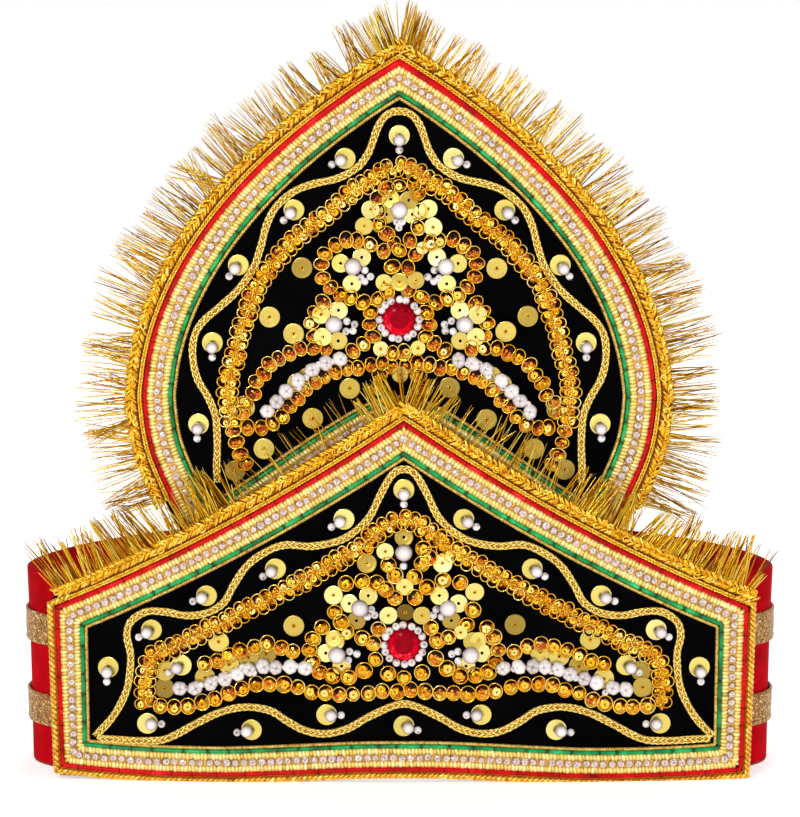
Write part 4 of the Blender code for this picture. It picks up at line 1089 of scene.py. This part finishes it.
def cupShapes(origins, turn, long, wide, glow, lightWay, chance):
    # a rim, a hollow of facets, a few beads and perhaps a gold disc for each cup
    count = len(origins)
    size = np.stack([long, wide, np.full(count, rings["high"])], 1)
    size = size * chance.normal(1.0, 0.035, (count, 1))
    tilt = np.abs(chance.normal(rings["tilt"], 0.06, count))
    toward = turn + np.where(chance.random(count) < 0.5, 0.0, np.pi) + chance.normal(0, 0.5, count)
    axes = lying(turn, size, tilt, toward)
    rims = placedAt(origins, spun([1.0], [1.0], rings["rimSides"]), axes)
    rimTint = tints(chance, 0.66, 0.16, count, rings["rimSides"] * 4, 0.1)
    parts = [part(tubes(rims, rings["rimYarn"], 4, closed=True), 0, rimTint)]
    hollow = facetted(turned(rings["hollow"], rings["cupSides"]))
    shape = copies(hollow, origins, axes)
    facets = shape[0].reshape(count, -1, 4, 3).mean(2) - origins[:, None, :]
    # painted light and shade in the hollow: facets towards lightWay are painted paler, those on the far
    # side nearly black, as the inside of a cup reflects
    lit = (facets[:, :, 0] * np.cos(lightWay)[:, None] + facets[:, :, 1] * np.sin(lightWay)[:, None])
    lit = lit / size[:, 1:2]
    base = 0.3 + 0.34 * glow[:, None]
    shade = base + 0.66 * lit + chance.normal(0.0, 0.2, lit.shape)
    shade = np.where(lit < -0.25, 0.25 * shade, shade)
    parts.append(part(shape, 1, np.repeat(np.clip(shade, 0, 1).ravel(), 4), False))
    outside = turned(rings["outside"], rings["cupSides"])
    parts.append(part(copies(outside, origins, axes), 0, 0.35))
    bead = ball(4, 6)
    for number in range(rings["beads"]):
        way = lightWay + (number - 1) * rings["beadApart"] + chance.normal(0.0, 0.35, count)
        gap = (0.44 + 0.1 * chance.normal(size=count)) * np.minimum(long, wide)
        place = origins + np.stack([np.cos(way) * gap, np.sin(way) * gap,
                                    0.55 + 0.1 * chance.normal(size=count)], 1)
        span = chance.uniform(0.24, 0.4, count)[:, None] * np.minimum(long, wide)[:, None]
        beads = copies(bead, place, lying(way, span * np.array([(1.0, 1.15, 0.7)])))
        tint = 0.3 + 0.42 * glow + chance.normal(0.0, 0.18, count)
        tint = np.repeat(np.clip(tint, 0, 1), len(bead[0]))
        parts.append(part(beads, 2, tint))
    has = chance.random(count) < glow
    way = lightWay[has] + chance.normal(0.0, 0.8, has.sum())
    span = chance.uniform(0.5, 0.66, (has.sum(), 1)) * np.minimum(long, wide)[has][:, None]
    place = origins[has] + np.stack([np.cos(way) * 0.5, np.sin(way) * 0.5, 0.0 * way + 1.12], 1)
    disc = turned(rings["disc"], rings["discSides"])
    discs = copies(disc, place, lying(way, span * np.ones((1, 3)), chance.uniform(0.05, 0.4, len(way)),
                                      chance.uniform(0, fullTurn, len(way))))
    parts.append(part(discs, 0, tints(chance, 0.6, 0.25, len(way), len(disc[0]))))
    return parts


def ringChain(board):
    chance = diceFor(board, 71)
    rows = ringRows[board["name"]]
    cups, seams, ways = [], [], []           # each cup: place, turn, size, glow, lit side
    share = rings["goldShare"][board["name"]]
    long, wide = rings[board["name"] + "Size"]
    for side, height in rows["loose"]:
        down = -np.pi / 2.0 + chance.normal(0.0, 0.6)
        cups.append((side, height, rings["out"] + chance.uniform(0.0, 0.4),
                     chance.uniform(0.0, fullTurn), long * 1.05, wide, share + 0.1, down))
    for flip in (1.0, -1.0):
        for row in rows["single"]:
            path = np.array(row, float) * (flip, 1.0)
            if len(path) > 2:
                path = smoothRoute(path, 2.0 * long * 0.95)
            way = directions(path)[0]
            path = path + chance.normal(0.0, 0.1, path.shape)
            for place, step in zip(path, way):
                down = -np.pi / 2.0 + chance.normal(0.0, 0.35)
                cups.append((*place, rings["out"] + chance.uniform(0.0, 0.25),
                             math.atan2(step[1], step[0]), long, wide, share, down))
        path = np.array(rows["double"], float) * (flip, 1.0)
        path = smoothRoute(path, rings["pairPitch"])
        if flip < 0:
            path = path[1:]
        way, normal = directions(path)[0], inwards(path)
        for side in (-1.0, 1.0):
            pairs = path + normal * side * rings["pairApart"]
            pairs = pairs + chance.normal(0.0, 0.1, pairs.shape)
            for place, step, edge in zip(pairs, way, normal):
                inside = math.atan2(-side * edge[1], -side * edge[0]) + chance.normal(0.0, 0.5)
                cups.append((*place, rings["out"] + 0.12, math.atan2(step[1], step[0]),
                             *rings["pairSize"], rings["pairGold"], inside))
        seams.append(path + way * 1.4)
        ways.append(way)
    cups = np.array(cups)
    parts = cupShapes(cups[:, :3], *cups[:, 3:].T, chance)
    seam, way = np.concatenate(seams), np.concatenate(ways)
    angle = fullTurn * np.arange(10) / 10.0
    turn = np.arctan2(way[:, 1], way[:, 0]) + chance.normal(0.0, 0.3, len(seam))
    loop = np.stack([1.2 * np.cos(angle), 0.7 * np.sin(angle), np.zeros(10)], 1)
    seats = alongPath(seam - way * 0.7, rings["stitchOut"])
    loops = placedAt(seats, loop, lying(turn, 1.0, 0.25, turn))
    tint = tints(chance, 0.5, 0.2, len(seam), 40)
    parts.append(part(tubes(loops, rings["stitchYarn"], 4, closed=True), 0, tint))
    bead = ball(4, 6)
    for lift, size, low, high in ((1.4, 0.55, 0.4, 0.9), (1.1, 0.65, 0.25, 0.7)):
        places = alongPath(seam + chance.normal(0.0, 0.3, seam.shape), lift)
        beads = copies(bead, places, lying(np.zeros(len(places)), size))
        tint = np.repeat(chance.uniform(low, high, len(places)), len(bead[0]))
        parts.append(part(beads, 2, tint))
    makePiece(board["name"] + "_ring_chain", parts, ["cupRim", "cupHollow", "amberBead"], board)


for board in (frontBoard, crestBoard):
    ringChain(board)


# Pearls, sequins and stones

jewels = {
    "crest": {
        "large": [(0.0, 163.5), (13.2, 147.5), (18.6, 131.0)], "stone": (0.0, 132.5),
        "sets": [(0.0, 184.5, 270), (15.4, 178.0, 336), (30.0, 163.4, 315),
                 (45.9, 147.7, 309), (53.4, 125.5, 270), (57.5, 102.2, 275)],
        "lowSets": [],
        "string": [(37.5, 106.0), (34.8, 109.0), (32.2, 111.9), (29.0, 115.0), (25.0, 118.0),
                   (21.0, 119.9), (17.0, 121.0)],
        "plain": [(28.0, 147.0), (37.0, 133.0), (30.5, 128.5), (14.0, 113.0), (24.5, 104.0),
                  (39.0, 95.5), (47.5, 89.0), (44.5, 106.5), (29.0, 113.5), (26.0, 115.8)],
        # beside each large pearl of the right half: sequins with their tint, then seed pearls
        "beside": [([(-3.7, -1.3, 0.35), (3.7, -1.3, 0.9), (-2.4, 3.0, 0.3), (2.7, 2.8, 0.4)],
                    [(-0.8, -3.4), (0.8, -3.4), (0.0, -5.0)]),
                   ([(-2.5, 2.5, 0.9), (3.5, 0.8, 0.6), (0.3, -5.0, 0.85)],
                    [(-3.4, -1.2), (-5.1, -2.9), (-3.3, -4.3), (-1.9, -3.4)]),
                   ([(-1.3, 3.9, 0.9), (-1.2, -4.8, 0.6), (3.7, 2.7, 0.75), (3.2, -3.6, 0.8)],
                    [(-3.6, 0.9), (-5.8, -0.1), (-5.5, -1.9), (-3.3, -2.0)])],
    },
    "front": {
        "large": [(0.0, 66.5), (12.5, 50.5), (19.0, 37.0)], "stone": (0.0, 40.0),
        "sets": [(0.0, 84.3, 270), (84.5, 32.6, 275), (72.0, 43.6, 330), (56.2, 53.6, 338),
                 (36.5, 61.5, 329), (17.0, 75.8, 329), (0.0, 16.3, 344)],
        "lowSets": [(73.3, 16.5, 180), (43.5, 15.0, 350), (22.0, 19.5, 180), (63.5, 33.5, 330)],
        "string": [(63.5, 26.8), (59.5, 27.2), (55.0, 28.6), (51.3, 30.0), (47.5, 31.4),
                   (43.8, 32.7), (40.0, 33.5), (36.6, 33.7), (32.4, 33.5), (28.5, 33.2)],
        "plain": [(31.5, 45.5), (53.0, 40.5), (68.0, 32.0), (68.0, 27.0), (49.5, 33.6),
                  (44.5, 36.2), (39.0, 37.0), (57.0, 30.0)],
        "beside": [([(0.0, 4.2, 0.35)], [(0.0, -3.9)]),
                   ([(-2.4, 3.4, 0.75), (3.0, 1.2, 0.9), (1.0, -3.7, 0.3)],
                    [(-3.3, -0.5), (-4.1, -2.0), (-2.0, -2.5)]),
                   ([(-1.3, -3.4, 0.8), (3.2, 0.4, 0.9), (0.5, 3.8, 0.5)],
                    [(-3.6, 0.9), (-5.4, 0.2), (-3.4, -1.7)])],
    },
    "largeRadius": 2.5, "setRadius": 1.75, "seedRadius": 1.12, "stringRadius": 2.12,
    "sequinRadius": 3.0, "besideRadius": 2.65, "pearlStep": 1.3, "plainOut": 0.35,
    "raisedOut": 1.5, "stringOut": 2.6, "stringSeed": 0.95,
}

sequinShape = turned([(0.16, -0.02), (0.16, 0.03), (0.2, 0.045), (0.5, 0.025), (0.86, 0.035),
                      (0.97, 0.055), (1.0, 0.03), (0.98, 0.0), (0.5, -0.02), (0.16, -0.02)], 28)
pearlShape = ball(12, 20)
seedShape = ball(9, 12)
knotCircle = fullTurn * np.arange(8) / 8.0

def sequins(places, tilt, toward, tint, material, radius=jewels["sequinRadius"]):
    places = np.array(places, float)
    size = np.broadcast_to(radius, (len(places),))[:, None] * np.ones((1, 3))
    shape = copies(sequinShape, places, lying(toward, size, tilt, toward))
    return part(shape, material, np.repeat(tint, len(sequinShape[0])))


def knots(places, tint, material):       # the thread knot that holds a plain sequin
    circle = 0.42 * np.stack([np.cos(knotCircle), np.sin(knotCircle), 0.0 * knotCircle], 1)
    rims = np.array(places, float)[:, None, :] + circle[None] + (0.0, 0.0, 0.16)
    return part(tubes(rims, 0.17, 5, closed=True), material, tint)


def pearlBalls(places, radius, tint, material, shape):
    # seed pearls get a painted dark spot, the painted shade of the threading hole, turned a little to
    # one side; other pearls get painted shade that deepens towards the board
    places = np.array(places, float)
    count = len(places)
    size = np.broadcast_to(radius, (count,))[:, None] * np.ones((1, 3))
    turn = 2.4 * np.arange(count) + 40.0 * places[:, 0]
    lean = 0.55 + 0.5 * np.sin(3.0 * turn) if shape is seedShape else 0.0 * turn
    balls = copies(shape, places, lying(turn, size, lean, 1.7 * turn))
    if shape is seedShape:
        paintedShade = 0.75 * np.exp(-((1.0 - shape[0][:, 2]) / 0.06) ** 2)
    else:
        paintedShade = 0.8 * (1.0 - np.maximum(shape[0][:, 2], 0.0)) ** 1.1
    shade = np.asarray(tint)[:, None] - paintedShade[None, :]
    return part(balls, material, np.clip(shade, 0, 1).ravel())


def seedTints(count, chance):
    return tints(chance, 0.82, 0.12, count, 1, 0.1)


def pearlSet(node, board, side, height, lean, chance, replaces):
    # a sequin held down by a pearl, with a seed pearl beyond it
    way = math.radians(lean)
    step = np.array((math.cos(way), math.sin(way)))
    seat = bend["seat"]
    parts = [sequins([(side, height, seat + jewels["plainOut"])], np.array([0.05]),
                     np.array([chance.uniform(0, fullTurn)]),
                     np.array([chance.uniform(0.55, 0.85)]), 0)]
    pearl = np.array((side, height)) + step * jewels["pearlStep"]
    radius, seedRadius = jewels["setRadius"], jewels["seedRadius"]
    parts.append(pearlBalls([(*pearl, seat + jewels["plainOut"] + radius)], radius,
                            np.array([chance.uniform(0.88, 1.0)]), 1, pearlShape))
    seed = pearl + step * (radius + seedRadius * 0.95)
    parts.append(pearlBalls([(*seed, seat + seedRadius * 0.95)], seedRadius,
                            seedTints(1, chance), 2, seedShape))
    makePiece(node, parts, ["sequin", "pearl", "seedPearl"], board, replaces)


def bothSides(rows):
    for number, row in enumerate(rows, start=1):
        if row[0] == 0.0:
            yield "centre" if number == 1 else "centre_low", number, row, 1.0
        else:
            yield "right", number, row, 1.0
            yield "left", number, row, -1.0


def pearlSets(board):
    chance = diceFor(board, 81)
    label = board["name"]
    for key, kind in (("sets", "sequin_pearl"), ("lowSets", "low_set")):
        for place, number, (side, height, lean), sign in bothSides(jewels[label][key]):
            turn = lean if sign > 0 else 180 - lean
            pearlSet(f"{label}_{kind}_{place}_{number}", board, side * sign, height, turn, chance,
                     key == "sets")


def pearlStrings(board):
    chance = diceFor(board, 83)
    label = board["name"]
    radius = jewels["stringRadius"]
    for sign, place in ((1.0, "right"), (-1.0, "left")):
        beads = np.array(jewels[label]["string"]) * (sign, 1.0)
        count = len(beads)
        wobble = beads + chance.normal(0.0, 0.15, beads.shape)
        way = np.arctan2(*(directions(beads)[0][:, ::-1].T))
        size = radius * np.stack([chance.uniform(1.0, 1.12, count), chance.uniform(0.9, 1.0, count),
                                  np.full(count, 0.95)], 1)
        ballPoints, ballFaces = ball(12, 24)
        around = np.arctan2(ballPoints[:, 1], ballPoints[:, 0])
        fromMiddle = np.hypot(ballPoints[:, 0], ballPoints[:, 1])
        rib = np.cos(6.0 * around) * fromMiddle
        dimple = np.exp(-((1.0 - ballPoints[:, 2]) / 0.03) ** 2)
        cross = (np.abs(np.cos(2.0 * around)) ** 6 * (fromMiddle < 0.7) * (ballPoints[:, 2] > 0))
        melon = (ballPoints * (1.0 + 0.03 * rib - 0.1 * dimple)[:, None], ballFaces)
        shape = copies(melon, alongPath(wobble, bend["seat"] + radius * 0.95),
                       lying(chance.uniform(0, fullTurn, count), size,
                             chance.uniform(0.05, 0.3, count), way))
        # painted light and shade: paler on the ridges and darker in the grooves between the lobes, dark
        # in the dimple and darker towards the board; the X marks are dark marks across the top
        shade = 0.94 + 0.08 * rib - 0.4 * dimple - 0.24 * cross
        shade = shade - 0.4 * (1.0 - np.maximum(ballPoints[:, 2], 0.0)) ** 1.4
        tint = np.clip(chance.normal(0.0, 0.12, (count, 1)) + shade[None, :], 0, 1).ravel()
        between = (beads[1:] + beads[:-1]) / 2.0 + chance.normal(0.0, 0.75, (count - 1, 2))
        seeds = pearlBalls(alongPath(between, bend["seat"] + jewels["stringOut"]),
                           jewels["stringSeed"], seedTints(count - 1, chance), 1, seedShape)
        makePiece(f"{label}_pearl_string_{place}", [part(shape, 0, tint), seeds],
                  ["pearl", "seedPearl"], board)


def largePearls(board):
    # each large pearl has sequins beside it and a cluster of seed pearls towards the middle
    chance = diceFor(board, 85)
    label = board["name"]
    radius = jewels["largeRadius"]
    for place, number, (side, height), sign in bothSides(jewels[label]["large"]):
        parts = [pearlBalls([(side * sign, height, bend["seat"] + radius)], radius,
                            np.array([chance.uniform(0.9, 1.0)]), 1, pearlShape)]
        discs, seeds = jewels[label]["beside"][number - 1]
        discs = np.array(discs) * (sign, 1.0, 1.0)
        spots = np.stack([side * sign + discs[:, 0], height + discs[:, 1],
                          0.95 + 0.25 * np.arange(len(discs))], 1)
        ways = np.arctan2(discs[:, 1], discs[:, 0])
        parts.append(sequins(spots, np.full(len(discs), 0.16), ways,
                             discs[:, 2] + chance.normal(0, 0.05, len(discs)), 0,
                             jewels["besideRadius"]))
        seeds = np.array(seeds) * (sign, 1.0) + chance.normal(0, 0.1, (len(seeds), 2))
        places = alongPath(seeds + (side * sign, height), bend["seat"] + 1.3)
        parts.append(pearlBalls(places, jewels["seedRadius"], seedTints(len(seeds), chance), 2,
                                seedShape))
        makePiece(f"{label}_large_pearl_{place}_{number}", parts,
                  ["sequin", "pearl", "seedPearl"], board)


def plainSequins(board):
    chance = diceFor(board, 87)
    label = board["name"]
    rows = np.array(jewels[label]["plain"])
    rows = np.concatenate([rows, rows[rows[:, 0] > 0] * (-1.0, 1.0)])
    rows = rows + chance.normal(0.0, 0.3, rows.shape)
    count = len(rows)
    low = alongPath(rows, bend["seat"] + jewels["plainOut"])
    flat = sequins(low, chance.uniform(0.02, 0.07, count), chance.uniform(0, fullTurn, count),
                   chance.uniform(0.1, 0.6, count), 0)
    discs = np.array(ringRows[label]["discs"], float)
    ways = chance.uniform(0, fullTurn, len(discs))
    raised = alongPath(discs[:, :2], jewels["raisedOut"])
    middle = sequins(raised, np.full(len(discs), 0.16), ways, discs[:, 3], 0, discs[:, 2])
    held = [knots(low, 0.35, 1), knots(raised, 0.5, 1)]
    makePiece(label + "_plain_sequins", [flat, middle] + held, ["sequin", "cupRim"], board,
              replaces=False)


stone = {"sides": 16, "layers": [(4.7, 1.2, 0.0), (4.7, 1.7, 0.0), (4.25, 2.35, 0.5),
                                 (3.6, 2.85, 0.0), (2.75, 3.1, 0.5)],
         "seedCount": 16, "seedRing": 5.65, "seedOut": 2.15, "turn": 0.13,
         "cup": [(5.0, 0.3), (6.3, 0.35), (6.5, 0.9), (5.6, 1.35), (5.0, 1.5), (4.7, 1.25)]}

def redStone(board):
    chance = diceFor(board, 91)
    side, height = jewels[board["name"]]["stone"]
    sides = stone["sides"]
    levels = [spun([radius], [out], sides, twist) for radius, out, twist in stone["layers"]]
    points = np.concatenate(levels + [[(0.0, 0.0, stone["layers"][-1][1])]])
    k = np.arange(sides)
    beyond = (k + 1) % sides
    faces = []
    for number, (lower, upper) in enumerate(zip(stone["layers"], stone["layers"][1:])):
        a, b = number * sides, (number + 1) * sides
        if lower[2] == upper[2]:
            faces.append(np.stack([a + k, a + beyond, b + beyond], 1))
            faces.append(np.stack([a + k, b + beyond, b + k], 1))
        elif lower[2] < upper[2]:
            faces.append(np.stack([a + k, a + beyond, b + k], 1))
            faces.append(np.stack([a + beyond, b + beyond, b + k], 1))
        else:
            faces.append(np.stack([a + k, b + beyond, b + k], 1))
            faces.append(np.stack([a + k, a + beyond, b + beyond], 1))
    last = (len(stone["layers"]) - 1) * sides
    faces.append(np.stack([last + k, last + beyond, 0 * k + len(points) - 1], 1))
    cut = facetted((points, faces))
    centre = np.array([(side, height, 0.0)])
    shape = copies(cut, centre, lying(stone["turn"], 1.0))
    middles = cut[0].reshape(-1, 3, 3).mean(1)
    # painted light: facets are painted paler towards the lower left, and the flat top is painted dark
    # crimson
    glow = 0.5 - 0.06 * middles[:, 1] - 0.03 * middles[:, 0] + chance.normal(0, 0.12, len(middles))
    glow[-sides:] = 0.27 + 0.03 * np.sin(0.8 * np.arange(sides))
    parts = [part(shape, 0, np.repeat(np.clip(glow, 0, 1), 3), False)]
    parts.append(part(copies(turned(stone["cup"], 32), centre, lying(0.0, 1.0)), 2, 0.15))
    count = stone["seedCount"]
    around = fullTurn * np.arange(count) / count + chance.normal(0, 0.03, count)
    ring = np.stack([side + stone["seedRing"] * np.cos(around),
                     height + stone["seedRing"] * np.sin(around), np.full(count, stone["seedOut"])], 1)
    parts.append(pearlBalls(ring, jewels["seedRadius"], seedTints(count, chance), 1, seedShape))
    makePiece(board["name"] + "_red_stone", parts, ["redStone", "seedPearl", "redSatin"], board)


for board in (frontBoard, crestBoard):
    pearlSets(board)
    pearlStrings(board)
    largePearls(board)
    plainSequins(board)
    redStone(board)


# Head band: a padded loop of red cloth, with two glitter tapes round it

band = {
    "halfWidth": 107.9, "depth": 140.0, "height": 57.0, "thick": 2.0, "flare": 1.6,
    "squareness": 1.15, "widestDepth": 41.0, "flareStart": 10.0, "lapStart": 70.0, "lapEnd": 86.0,
    "corner": [(91.5, 9.5), (96.0, 16.0), (100.6, 22.0), (104.6, 27.5), (107.0, 33.5)],
    "ripple": 0.28, "rows": 22, "step": 2.2,
    "tapeWidth": 9.3, "tapeThick": 0.6, "tapeStart": 12.0, "tapeMiddles": (16.6, 40.3),
}

def boardBack(side):
    radius = bend["radius"]
    return radius - (radius - bend["boardThick"] - bend["seat"]) * math.cos(side / radius)


def bandPlan():
    laps = [(side, boardBack(side)) for side in (band["lapStart"], band["lapEnd"])]
    widest = (band["halfWidth"], band["widestDepth"])
    corner = smoothRoute([laps[1]] + band["corner"] + [widest], 2.0)
    angle = 0.5 * np.pi * np.arange(1, 31) / 30.0
    across = np.abs(np.cos(angle)) ** band["squareness"]
    beyond = np.sin(angle) ** band["squareness"]
    back = np.stack([band["halfWidth"] * across, band["widestDepth"]
                     + (band["depth"] - band["widestDepth"]) * beyond], 1)
    half = np.concatenate([[laps[0]], corner, back])
    return np.concatenate([half, half[:-1][::-1] * (-1.0, 1.0)])


def bandSurface(path, outs, heights):
    # points for every place along the plan and every (out, height) of the section
    normal = inwards(path)
    ease = np.clip((path[:, 1] - band["flareStart"])
                   / (band["widestDepth"] - band["flareStart"]), 0.0, 1.0)
    lengths = lengthsAlong(path)[:, None]
    ripple = (np.sin(lengths / 17.0 + heights[None, :] / 23.0)
              + 0.6 * np.sin(lengths / 7.3 - heights[None, :] / 11.0))
    ripple = ripple * band["ripple"] * ease[:, None] * 0.6 - 0.3 * ease[:, None]
    flare = band["flare"] * ease[:, None] * heights[None, :] / band["height"]
    far = outs[None, :] + flare + ripple
    flat = path[:, None, :] + normal[:, None, :] * far[:, :, None]
    tall = np.broadcast_to(heights[None, :, None], (*flat.shape[:2], 1))
    points = np.concatenate([flat[:, :, :1], flat[:, :, 1:] + bend["faceDepth"], tall], 2)
    uv = np.stack([np.broadcast_to(lengths, far.shape), tall[:, :, 0]
                   + 200.0 * (outs < -1.0)[None, :]], 2) * 0.1
    return points, uv.reshape(-1, 2)


def gridFaces(rows, columns):      # columns close on themselves
    here = np.arange(rows - 1)[:, None] * columns + np.arange(columns)[None, :]
    beside = np.roll(here, -1, 1)
    return np.stack([here, here + columns, beside + columns, beside], 2).reshape(-1, 4)


def endCaps(rows, columns):
    return np.array([np.arange(columns), (np.arange(columns) + (rows - 1) * columns)[::-1]])


def headBand():
    path = evenly(bandPlan(), band["step"])
    rise = np.linspace(0.6, band["height"] - 0.8, band["rows"])
    outer = np.stack([np.zeros(band["rows"]), rise], 1)
    top = np.array([(-0.25, band["height"] - 0.2), (-1.0, band["height"]),
                    (-1.75, band["height"] - 0.2)])
    inner = np.stack([np.full(band["rows"], -band["thick"]), rise[::-1]], 1)
    foot = np.array([(-1.8, 0.1), (-1.0, 0.0), (-0.2, 0.1)])
    section = np.concatenate([outer, top, inner, foot])
    points, uv = bandSurface(path, section[:, 0], section[:, 1])
    faces = gridFaces(len(path), len(section))
    columns = len(section)
    isLow = np.tile(np.arange(columns) >= columns - 4, len(path) - 1)
    caps = endCaps(len(path), columns)
    flat = points.reshape(-1, 3)
    edge = (np.zeros((0, 3)), [faces[isLow] - len(flat)])       # the foot shares the loop's points
    parts = [part((flat, [faces[~isLow], caps])), part(edge, 1)]
    piece = makePiece("head_band", parts, ["bandCloth", "brownBandFoot"], None, uv=uv)


def bandTape(middle, name):
    path = evenly(bandPlan(), band["step"])
    path = path[path[:, 1] > band["tapeStart"]]
    half, thick = band["tapeWidth"] / 2.0, band["tapeThick"]
    near = bend["seat"]
    across = np.array([-1.0, -0.97, -0.86, -0.75, -0.4, 0.0, 0.4, 0.75, 0.86, 0.97, 1.0])
    rise = np.array([0.35, 0.85, 1.15, 0.8, 0.9, 0.92, 0.9, 0.8, 1.15, 0.85, 0.35])
    section = np.concatenate([np.stack([near + thick * rise, middle + half * across], 1),
                              [(near, middle + half), (near, middle - half)]])
    points, uv = bandSurface(path, section[:, 0], section[:, 1])
    columns = len(section)
    caps = endCaps(len(path), columns)
    shape = (points.reshape(-1, 3), [gridFaces(len(path), columns), caps])
    makePiece(name, [part(shape)], ["glitter"], None)


headBand()
for middle, name in zip(band["tapeMiddles"], ("lower_band_tape", "upper_band_tape")):
    bandTape(middle, name)


# Velvet on the two boards, and the closing steps

for name in ("front_panel", "crest_panel"):
    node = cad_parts[name]
    for slot in node.material_slots:
        slot.material = finishes["velvet"]

setCamera()
setStudio()
